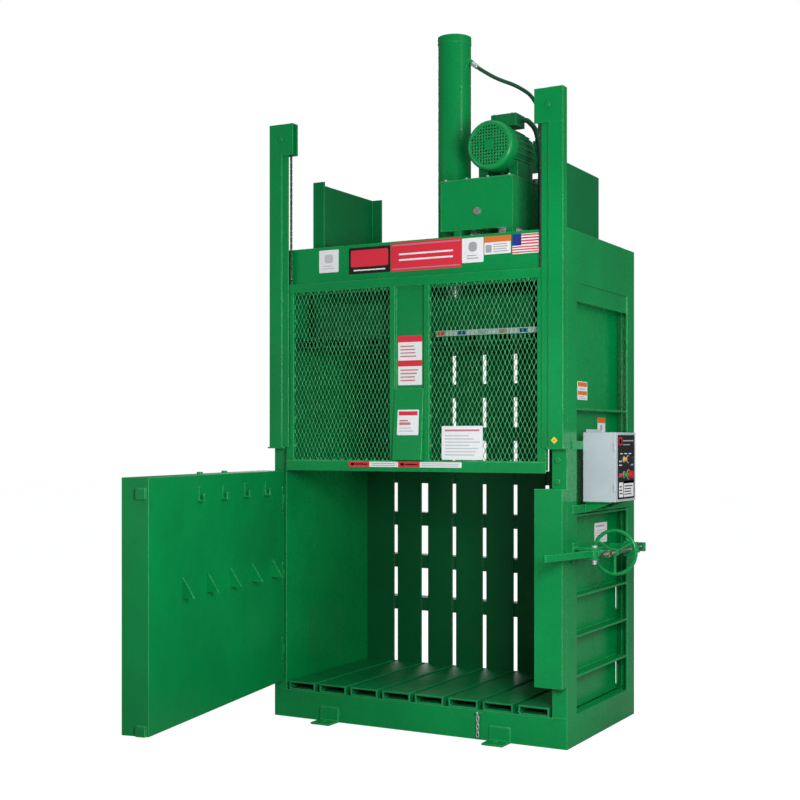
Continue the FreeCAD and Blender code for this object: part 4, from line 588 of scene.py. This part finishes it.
def gate_welds():
    """Seams of the gate's corners and its pocket."""
    shape = Shape()
    half = GATE_HIGH.x
    for side in (-1, 1):
        for z in (GATE_LOW.z + 65, GATE_HIGH.z - 45):
            weld(shape, (side * (half - 45), GATE_LOW.y + 2.6, z),
                 (side * (half - 3), GATE_LOW.y + 2.6, z), 2.4)
        weld(shape, (side * 83, FRONT - 22, 1380), (side * 83, FRONT - 22, 1726), 3.2)
    weld(shape, (-80, FRONT - 24, 1733), (80, FRONT - 24, 1733), 3)
    return shape.piece("gate_welds", WELD_PAINT, "gate", "green", 60)


# ---------------------------------------------------------------- label fields

class Label:
    """A vinyl label: plain fields of colour on a rounded film, with no lettering."""

    def __init__(self, name, body, corner, across, up, wide, high, ground="white", film=0.5):
        self.across, self.up = Vector(across), Vector(up)
        self.out = self.across.cross(self.up).normalized()
        self.corner, self.wide, self.high = Vector(corner), wide, high
        self.name, self.body = name, body
        self.shape, self.words, self.film = Shape(), [ground], film
        self.patch(0, 0, 1, 1, ground, 0, film, 0.04)

    def patch(self, u0, v0, u1, v1, word, low=None, thick=0.16, round_share=0.0):
        """A field between two corners, in shares of the label's width and height."""
        if word not in self.words:
            self.words.append(word)
        self.shape.tint = self.words.index(word)
        low = self.film if low is None else low
        r = round_share * min(self.wide, self.high)
        x0, x1, z0, z1 = u0 * self.wide, u1 * self.wide, v0 * self.high, v1 * self.high
        if r:
            outline = []
            for cx, cz, a0 in ((x1 - r, z0 + r, -90), (x1 - r, z1 - r, 0), (x0 + r, z1 - r, 90),
                               (x0 + r, z0 + r, 180)):
                outline += [(cx + r * math.cos(math.radians(a0 + t)),
                             cz + r * math.sin(math.radians(a0 + t)))
                            for t in (0, 30, 60, 90)]
        else:
            outline = [(x0, z0), (x1, z0), (x1, z1), (x0, z1)]
        base = self.corner + self.out * low
        self.shape.prism([base + self.across * x + self.up * z for x, z in outline], self.out * thick)
        return self

    def bars(self, u0, v0, u1, v1, rows, word="grey", ragged=0.25, seed=1):
        """Plain bars in rows, as ruled lines, with uneven ends."""
        draw = random.Random(seed)
        step = (v1 - v0) / rows
        for k in range(rows):
            stop = u1 - (u1 - u0) * draw.uniform(0, ragged)
            self.patch(u0, v0 + step * (k + 0.3), stop, v0 + step * (k + 0.68), word)
        return self

    def place(self):
        return self.shape.piece(self.name, [VINYL[word] for word in self.words], self.body, None, 30)


def header_labels():
    """The row of sign fields along the header."""
    def sign(name, x0, z0, x1, z1, ground):
        return Label(name, "frame", (x0, FRONT, z0), (1, 0, 0), (0, 0, 1), x1 - x0, z1 - z0, ground)
    white = sign("header_sign_1", -556, 2352, -436, 2470, "white")
    white.patch(0.28, 0.42, 0.72, 0.80, "pale", round_share=0.12)
    white.bars(0.2, 0.12, 0.8, 0.34, 2, "pale")
    white.place()
    dark = sign("header_sign_2", -374, 2334, -126, 2470, "black")
    dark.patch(0.05, 0.26, 0.95, 0.90, "red", round_share=0.06)
    dark.bars(0.12, 0.07, 0.88, 0.20, 1, "white", 0)
    dark.place()
    red = sign("header_sign_3", -124, 2332, 280, 2478, "red")
    red.patch(0.02, 0.06, 0.98, 0.11, "pink")
    red.patch(0.02, 0.89, 0.98, 0.94, "pink")
    red.patch(0.12, 0.56, 0.88, 0.62, "white")
    red.patch(0.12, 0.36, 0.88, 0.42, "white")
    red.place()
    pale = sign("header_sign_4", 282, 2350, 400, 2472, "white")
    pale.patch(0.30, 0.44, 0.70, 0.84, "grey", round_share=0.16)
    pale.bars(0.22, 0.12, 0.78, 0.34, 2, "grey")
    pale.place()
    orange = sign("header_sign_5", 404, 2384, 546, 2472, "white")
    orange.patch(0.0, 0.66, 1.0, 1.0, "orange")
    orange.patch(0.05, 0.1, 0.28, 0.52, "grey")
    orange.bars(0.34, 0.08, 0.95, 0.6, 4, "grey", 0.3, 3)
    orange.place()
    two = sign("header_sign_6", 554, 2376, 694, 2472, "white")
    two.patch(0.0, 0.42, 0.34, 1.0, "blue")
    for k in range(4):
        two.patch(0.34, 0.46 + 0.145 * k, 1.0, 0.53 + 0.145 * k, "red")
    for k in range(3):
        two.patch(0.0, 0.05 + 0.13 * k, 1.0, 0.11 + 0.13 * k, "red")
    two.place()


def gate_labels():
    """Fields on the gate's column, mesh and foot, and on the platen's edge."""
    web = GATE_LOW.y + 3 + 18
    first = Label("column_sign_1", "gate", (-74, web, 1752), (1, 0, 0), (0, 0, 1), 138, 250)
    first.patch(0.0, 0.87, 1.0, 1.0, "red")
    first.patch(0.0, 0.38, 1.0, 0.50, "red")
    first.bars(0.1, 0.55, 0.9, 0.82, 4, "pink", 0.3, 5)
    first.bars(0.1, 0.06, 0.9, 0.34, 4, "pink", 0.3, 6)
    first.place()
    tilt = math.atan2(46 - 22, 1732 - 1374)
    up = Vector((0, math.sin(tilt), math.cos(tilt)))
    second = Label("pocket_sign", "gate", (-60, web - 46 + math.tan(tilt) * 125, 1374 + 125), (1, 0, 0),
                   up, 122, 128)
    second.patch(0.06, 0.78, 0.94, 0.94, "red")
    second.patch(0.1, 0.40, 0.62, 0.50, "pink")
    second.patch(0.1, 0.54, 0.5, 0.60, "pink")
    second.bars(0.1, 0.1, 0.8, 0.34, 2, "pale")
    second.place()
    card = Label("mesh_card", "gate", (180, MESH_LOW.y - 3.5, 1376), (1, 0, 0), (0, 0, 1), 226, 168,
                 "white", 1.2)
    card.bars(0.08, 0.80, 0.92, 0.94, 1, "pink", 0)
    card.bars(0.08, 0.10, 0.94, 0.76, 7, "pale", 0.35, 9)
    card.place()
    strip = Label("gate_foot_strip", "gate", (-354, GATE_LOW.y, 1337), (1, 0, 0), (0, 0, 1), 650, 27)
    strip.patch(0.0, 0.0, 0.19, 1.0, "red")
    strip.patch(0.45, 0.0, 0.64, 1.0, "red")
    strip.patch(0.02, 0.3, 0.05, 0.75, "white")
    strip.patch(0.06, 0.42, 0.17, 0.62, "pink")
    strip.patch(0.47, 0.3, 0.50, 0.75, "white")
    strip.patch(0.51, 0.42, 0.62, 0.62, "pink")
    strip.bars(0.21, 0.15, 0.44, 0.85, 2, "grey", 0.1, 2)
    strip.bars(0.66, 0.15, 0.98, 0.85, 2, "grey", 0.1, 4)
    strip.place()
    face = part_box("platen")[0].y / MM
    bar = Label("platen_strip", "ram", (120, face, 1995), (1, 0, 0), (0, 0, 1), 560, 28, "pale")
    for k in range(5):
        bar.patch(0.02 + 0.2 * k, 0.15, 0.10 + 0.2 * k, 0.85, ("red", "blue", "grey", "pink", "blue")[k])
    bar.place()


def side_labels():
    """Fields on the right side sheet and on the mast."""
    def sign(name, y0, z0, y1, z1, ground="white"):
        return Label(name, "frame", (SHEET_OUT, y0, z0), (0, 1, 0), (0, 0, 1), y1 - y0, z1 - z0, ground)
    first = sign("side_sign_1", -176, 1676, -40, 1768)
    first.patch(0.04, 0.72, 0.96, 0.96, "orange")
    first.patch(0.04, 0.26, 0.96, 0.48, "orange")
    first.bars(0.1, 0.52, 0.9, 0.68, 2, "grey")
    first.bars(0.1, 0.04, 0.9, 0.22, 2, "grey")
    first.place()
    second = sign("side_sign_2", 108, 1515, 220, 1592)
    second.patch(0.0, 0.62, 1.0, 1.0, "orange")
    second.patch(0.35, 0.12, 0.6, 0.5, "grey", round_share=0.1)
    second.place()
    third = sign("side_sign_3", 62, 942, 246, 1046)
    third.bars(0.1, 0.74, 0.8, 0.94, 1, "grey")
    third.bars(0.08, 0.08, 0.92, 0.68, 5, "pale", 0.3, 8)
    third.place()
    turn = math.sqrt(0.5)
    diamond = Label("mast_mark", "frame", (793, MAST_FACE, 1456), (turn, 0, turn), (-turn, 0, turn),
                    24, 24, "yellow")
    diamond.patch(0.3, 0.3, 0.7, 0.7, "orange")
    diamond.place()


# ---------------------------------------------------------------- control box

def control_details():
    """The door's black face plate with its plain fields and legend rings, clamps, glands and gasket."""
    face = LID_HIGH.x - 2
    y0, z0, wide, high = -266, 1187, 236, 312
    plate = Label("control_face_plate", "control_lid", (face, y0, z0), (0, 1, 0), (0, 0, 1), wide, high,
                  "black", 2.4)
    plate.patch(0.04, 0.84, 0.24, 0.96, "red")
    plate.patch(0.30, 0.90, 0.94, 0.92, "grey")
    plate.patch(0.08, 0.86, 0.20, 0.94, "pink")
    plate.patch(0.30, 0.84, 0.72, 0.855, "grey")
    for u, v in ((0.12, 0.70), (0.38, 0.70), (0.64, 0.70)):
        plate.patch(u, v, u + 0.16, v + 0.015, "white")
    plate.bars(0.06, 0.50, 0.24, 0.62, 2, "pale", 0.1)
    plate.bars(0.78, 0.50, 0.95, 0.68, 3, "grey", 0.2)
    plate.patch(0.06, 0.34, 0.24, 0.40, "red")
    plate.patch(0.80, 0.34, 0.95, 0.40, "red")
    plate.patch(0.06, 0.03, 0.30, 0.26, "white")
    plate.patch(0.34, 0.03, 0.95, 0.28, "white")
    plate.patch(0.34, 0.24, 0.95, 0.28, "red")
    plate.bars(0.38, 0.05, 0.9, 0.22, 4, "grey", 0.3, 12)
    plate.bars(0.09, 0.06, 0.27, 0.22, 3, "grey", 0.3, 13)
    plate.place()
    rings = Shape()
    for word in ("mode_switch", "power_lamp", "start_button", "stop_button"):
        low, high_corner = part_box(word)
        centre = (low + high_corner) / 2 / MM
        radius = (high_corner.z - low.z) / 2 / MM
        face_x = face + 2.4
        rings.spun((face_x, centre.y, centre.z), (1, 0, 0),
                   [(0, radius + 1), (0, radius + 7), (1.2, radius + 6), (1.2, radius + 1)], 28,
                   closed=True)
    rings.piece("legend_rings", FINISH["zinc"], "control_lid", "zinc", 40)
    fittings = Shape()
    for z in (1222, 1464):
        fittings.block((LID_LOW.x + 3, LID_HIGH.y - 6, z - 16),
                       (LID_LOW.x + 17, LID_HIGH.y - 0.5, z + 16))
    fittings.spun((LID_LOW.x + 14, LID_HIGH.y - 26, 1205), (1, 0, 0), [(0, 9), (4.6, 9), (5.4, 8)], 20)
    fittings.block((LID_LOW.x + 18, LID_HIGH.y - 27.4, 1197.5),
                   (LID_LOW.x + 20.6, LID_HIGH.y - 24.6, 1212.5))
    fittings.piece("lid_clamps", FINISH["zinc"], "control_lid", "zinc", 40, 0.8)
    gland = Shape()
    for y in (-210, -90):
        gland.spun((BOX_LOW.x + 70, y, BOX_LOW.z + 14), (0, 0, -1),
                   [(0, 16), (5, 16), (5, 20), (13, 20), (13, 14), (24, 12), (26, 9)], 6)
    gland.piece("box_glands", FINISH["black_plastic"], "frame", "black_plastic", 30, 0.6)
    gasket = Shape()
    gasket.block((BOX_HIGH.x - 1.2, LID_LOW.y + 9, LID_LOW.z + 5),
                 (BOX_HIGH.x + 0.4, LID_HIGH.y - 5, LID_LOW.z + 8))
    gasket.block((BOX_HIGH.x - 1.2, LID_LOW.y + 9, LID_HIGH.z - 8),
                 (BOX_HIGH.x + 0.4, LID_HIGH.y - 5, LID_HIGH.z - 5))
    gasket.piece("lid_gasket", FINISH["black_plastic"], "frame", "black_plastic")


# ---------------------------------------------------------------- latch screw

def thread(shape, x, z, start, stop, root, crest, pitch, sides=20):
    """A trapezoid screw thread along Y."""
    per_turn = 12
    rings = []
    count = int((stop - start) / pitch * per_turn)
    for k in range(count + 1):
        y = start + (stop - start) * k / count
        ring = []
        for i in range(sides):
            a = 2 * math.pi * i / sides
            phase = ((y - start) / pitch - i / sides) % 1.0
            rise = min(1.0, max(0.0, (0.5 - abs(phase - 0.5) - 0.14) / 0.14))
            radius = root + (crest - root) * rise
            ring.append(Vector((x + radius * math.cos(a), y, z + radius * math.sin(a))))
        rings.append(ring)
    shape.loft(rings)


def latch_screw():
    """The latch's screw with its thread, collar and plain end."""
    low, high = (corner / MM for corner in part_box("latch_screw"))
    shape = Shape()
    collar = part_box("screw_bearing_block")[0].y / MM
    thread(shape, SCREW_X, LATCH_Z, low.y + 3, collar - 20, 9.9, 12.0, 8.0)
    shape.spun((SCREW_X, collar - 20, LATCH_Z), (0, 1, 0),
               [(0, 11.6), (7, 12.0), (high.y - collar + 18, 12.0),
                                                              (high.y - collar + 20, 11.0)], 32)
    shape.spun((SCREW_X, low.y, LATCH_Z), (0, 1, 0), [(0, 8.6), (3.2, 10.4)], 20)
    shape.spun((SCREW_X, collar - 13, LATCH_Z), (0, 1, 0),
               [(0, 18.6), (1.4, 20), (10.6, 20), (12, 18.6)], 32)
    piece = shape.piece("threaded_latch_screw", FINISH["chain_steel"], "screw", "chain_steel", 30)
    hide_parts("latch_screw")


# ---------------------------------------------------------------- power unit

def fan_grille():
    """The motor's fan cover: a pressed cap with rows of round holes about a plain centre."""
    centre = (FAN_LOW + FAN_HIGH) / 2
    radius = (FAN_HIGH.x - FAN_LOW.x) / 2
    front = FAN_LOW.y
    pitch, hole, plain, sides = 15.5, 5.2, 24, 8
    flat = radius - 18
    holes = []
    rows = int(flat / pitch)
    for i in range(-rows, rows + 1):
        for j in range(-rows, rows + 1):
            u, v = i * pitch, j * pitch
            if plain < math.hypot(u, v) < flat - hole - 4:
                holes.append([(u + hole * math.cos(2 * math.pi * k / sides + 0.39),
                               v + hole * math.sin(2 * math.pi * k / sides + 0.39)) for k in range(sides)])
    outline = [(flat * math.cos(2 * math.pi * k / 72),
                flat * math.sin(2 * math.pi * k / 72)) for k in range(72)]
    shape = Shape()
    sheet_with_holes(shape, outline, holes, lambda u, v, w: (centre.x + u, front + w, centre.z + v), 2.5)
    skirt = [(0, flat)]
    bend = [math.radians(degrees) for degrees in (22, 45, 68, 90)]
    skirt += [(18 - 18 * math.cos(a), flat + 18 * math.sin(a)) for a in bend]
    skirt += [(FAN_HIGH.y - front, radius), (FAN_HIGH.y - front, radius - 3),
              (20, radius - 3), (2.5, flat)]
    shape.spun((centre.x, front, centre.z), (0, 1, 0), skirt, 72, closed=True)
    ring = [(60, radius - 3), (72, radius - 3), (72, radius - 30), (60, radius - 30)]
    shape.spun((centre.x, front, centre.z), (0, 1, 0), ring, 48, closed=True)
    for a in (45, 135, 225, 315):
        out = Vector((math.cos(math.radians(a)), 0, math.sin(math.radians(a))))
        spot = centre + out * (radius - 1)
        shape.spun((spot.x, FAN_HIGH.y - 14, spot.z), out, [(0, 6.5), (0.8, 6.5), (0.9, 5)], 6)
    piece = shape.piece("fan_grille", FINISH["green"], "frame", "green", 30)
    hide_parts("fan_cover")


def hex_head(shape, centre, axis, size, high):
    """A hexagon head on its washer."""
    shape.spun(centre, axis, [(0, size * 0.72), (1.6, size * 0.72), (1.8, size * 0.6)], 20)
    base = Vector(centre) + Vector(axis).normalized() * 1.8
    shape.spun(base, axis, [(0, size * 0.577), (high - 1, size * 0.577), (high, size * 0.48)], 6)


def power_details():
    """Bolts of the tank lid and the terminal box, a blank motor plate and a lifting eye."""
    bolts = Shape()
    lid_top = TANK_HIGH.z + 6
    for k in range(4):
        x = TANK_LOW.x + 22 + (TANK_HIGH.x - TANK_LOW.x - 44) * k / 3
        for y in (TANK_LOW.y + 12, TANK_HIGH.y - 12):
            hex_head(bolts, (x, y, lid_top), (0, 0, 1), 13, 7)
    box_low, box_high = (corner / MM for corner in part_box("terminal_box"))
    for x in (box_low.x + 12, box_high.x - 28):
        for y in (box_low.y + 12, box_high.y - 12):
            hex_head(bolts, (x, y, box_high.z - 0.2), (0, 0, 1), 8, 4)
    bolts.piece("lid_bolts", FINISH["zinc"], "frame", "zinc", 30)
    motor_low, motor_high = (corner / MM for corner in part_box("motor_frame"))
    centre_x = (motor_low.x + motor_high.x) / 2
    plate = Shape()
    plate.block((motor_low.x + 6.2, -170, 2925), (motor_low.x + 8, -90, 2985))
    plate.piece("blank_motor_plate", FINISH["zinc"], "frame", "zinc", 30, 0.4)
    eye = Shape()
    spots = [Vector((centre_x, -60 + 15 * math.cos(a), motor_high.z + 13 + 15 * math.sin(a)))
             for a in (2 * math.pi * k / 20 for k in range(20))]
    rings = []
    for k, spot in enumerate(spots):
        out = (spot - Vector((centre_x, -60, motor_high.z + 13))).normalized()
        rings.append([spot + out * 4.5 * math.cos(b) + Vector((1, 0, 0)) * 4.5 * math.sin(b)
                      for b in (2 * math.pi * i / 8 for i in range(8))])
    eye.loft(rings, closed=True)
    eye.spun((centre_x, -60, motor_high.z - 14), (0, 0, 1), [(0, 12), (9, 12), (12, 8), (14, 7)], 16)
    eye.piece("motor_lifting_eye", FINISH["green"], "frame", "green", 40)


def hose_ends():
    """Crimped ferrules and swivel nuts where the pressure hose meets its ports."""
    shape = Shape()
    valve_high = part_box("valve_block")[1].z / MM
    bore_y = (BARREL_LOW.y + BARREL_HIGH.y) / 2
    port = Vector((math.sin(math.radians(PORT_TURN)), 0, math.cos(math.radians(PORT_TURN))))
    start = Vector((83, bore_y, PORT_LEVEL)) + port * PORT_LONG
    shape.spun(start - port * 2, port, [(0, 15.0), (13, 15.0), (14, 13.5)], 6)
    shape.spun(start + port * 12, port, [(0, 12.4), (4, 13.2), (8, 12.4), (12, 13.2),
                                         (16, 12.4), (20, 13.2), (24, 12.2), (26, 10.4)], 20)
    low_end = Vector((VALVE_PORT_X, VALVE_PORT_Y, valve_high))
    up = Vector((0, 0, 1))
    shape.spun(low_end - up * 2, up, [(0, 15.0), (13, 15.0), (14, 13.5)], 6)
    shape.spun(low_end + up * 11, up, [(0, 12.4), (4, 13.2), (8, 12.4), (12, 11.0)], 20)
    shape.piece("hose_ferrules", FINISH["zinc"], "frame", "zinc", 35)


# ---------------------------------------------------------------- room, light and camera

def studio():
    """A plain pale floor, a pale room and soft boxes on all sides."""
    floor_mesh = bpy.data.meshes.new("floor")
    reach = 40.0
    floor_mesh.from_pydata([(-reach, -reach, 0), (reach, -reach, 0), (reach, reach, 0),
                            (-reach, reach, 0)], [],
                           [(0, 1, 2, 3)])
    floor = bpy.data.objects.new("floor", floor_mesh)
    bpy.context.scene.collection.objects.link(floor)
    material, tree, surface, place = begin("pale_floor", Roughness=0.9, Specular_IOR_Level=0.0,
                                           Emission_Color=(1.0, 1.0, 1.0, 1.0))
    seen = add(tree, "LightPath").outputs["Is Camera Ray"]
    tree.links.new(spread(tree, seen, 0.0, 1.0, 0.0, 0.88), surface.inputs["Emission Strength"])
    tone = noise(tree, place, 0.6, 3.0)
    tree.links.new(blend(tree, tone, (0.30, 0.30, 0.30, 1), (0.34, 0.34, 0.34, 1)),
                   surface.inputs["Base Color"])
    floor_mesh.materials.append(material)
    world = bpy.data.worlds.new("studio")
    bpy.context.scene.world = world
    world.use_nodes = True
    tree = world.node_tree
    back = tree.nodes["Background"]
    path = add(tree, "LightPath").outputs
    lit = blend(tree, path["Is Glossy Ray"], (0.35, 0.36, 0.36, 1), (0.09, 0.10, 0.10, 1))
    tree.links.new(blend(tree, path["Is Camera Ray"], lit, (1.0, 1.0, 1.0, 1)), back.inputs["Color"])

    def soft_box(name, place, aim, size, watts):
        lamp = bpy.data.lights.new(name, "AREA")
        lamp.shape, lamp.size, lamp.size_y, lamp.energy = "RECTANGLE", size[0], size[1], watts
        holder = bpy.data.objects.new(name, lamp)
        holder.location = place
        holder.rotation_euler = (Vector(aim) - Vector(place)).to_track_quat("-Z", "Y").to_euler()
        holder.visible_camera = False
        bpy.context.scene.collection.objects.link(holder)

    soft_box("key", (2.75, -3.5, 2.0), (0.4, 0, 1.5), (0.9, 1.3), 108)
    soft_box("low_fill", (-2.6, -6.0, 1.6), (0, 0, 1.4), (2.6, 2.0), 8)
    soft_box("right_strip", (4.6, -1.2, 2.9), (0.8, 0, 2.2), (0.35, 3.2), 42)
    soft_box("left_strip", (-3.6, -3.4, 2.4), (-0.6, -0.4, 2.0), (0.25, 3.4), 6)
    soft_box("overhead", (0.5, -1.0, 7.0), (0.2, 0, 2), (4, 4), 50)
    soft_box("rear", (-3.5, 5.5, 4.5), (0, 0, 1.6), (3, 3), 150)


def camera():
    """The camera of the main view."""
    lens = bpy.data.cameras.new("camera")
    lens.lens, lens.sensor_width, lens.shift_y = 59.28, 36.0, 0.0506
    holder = bpy.data.objects.new("camera", lens)
    holder.location = (3.1828, -6.3385, 1.4721)
    holder.rotation_euler = (math.pi / 2, 0, 0.507)
    bpy.context.scene.collection.objects.link(holder)
    bpy.context.scene.camera = holder


finish_frame()
for panel_side in (-1, 1):
    expanded_panel(panel_side)
chains()
body_welds()
top_welds()
gate_welds()
header_labels()
gate_labels()
side_labels()
control_details()
latch_screw()
fan_grille()
power_details()
hose_ends()
studio()
camera()
bpy.context.scene.view_settings.view_transform = "Standard"
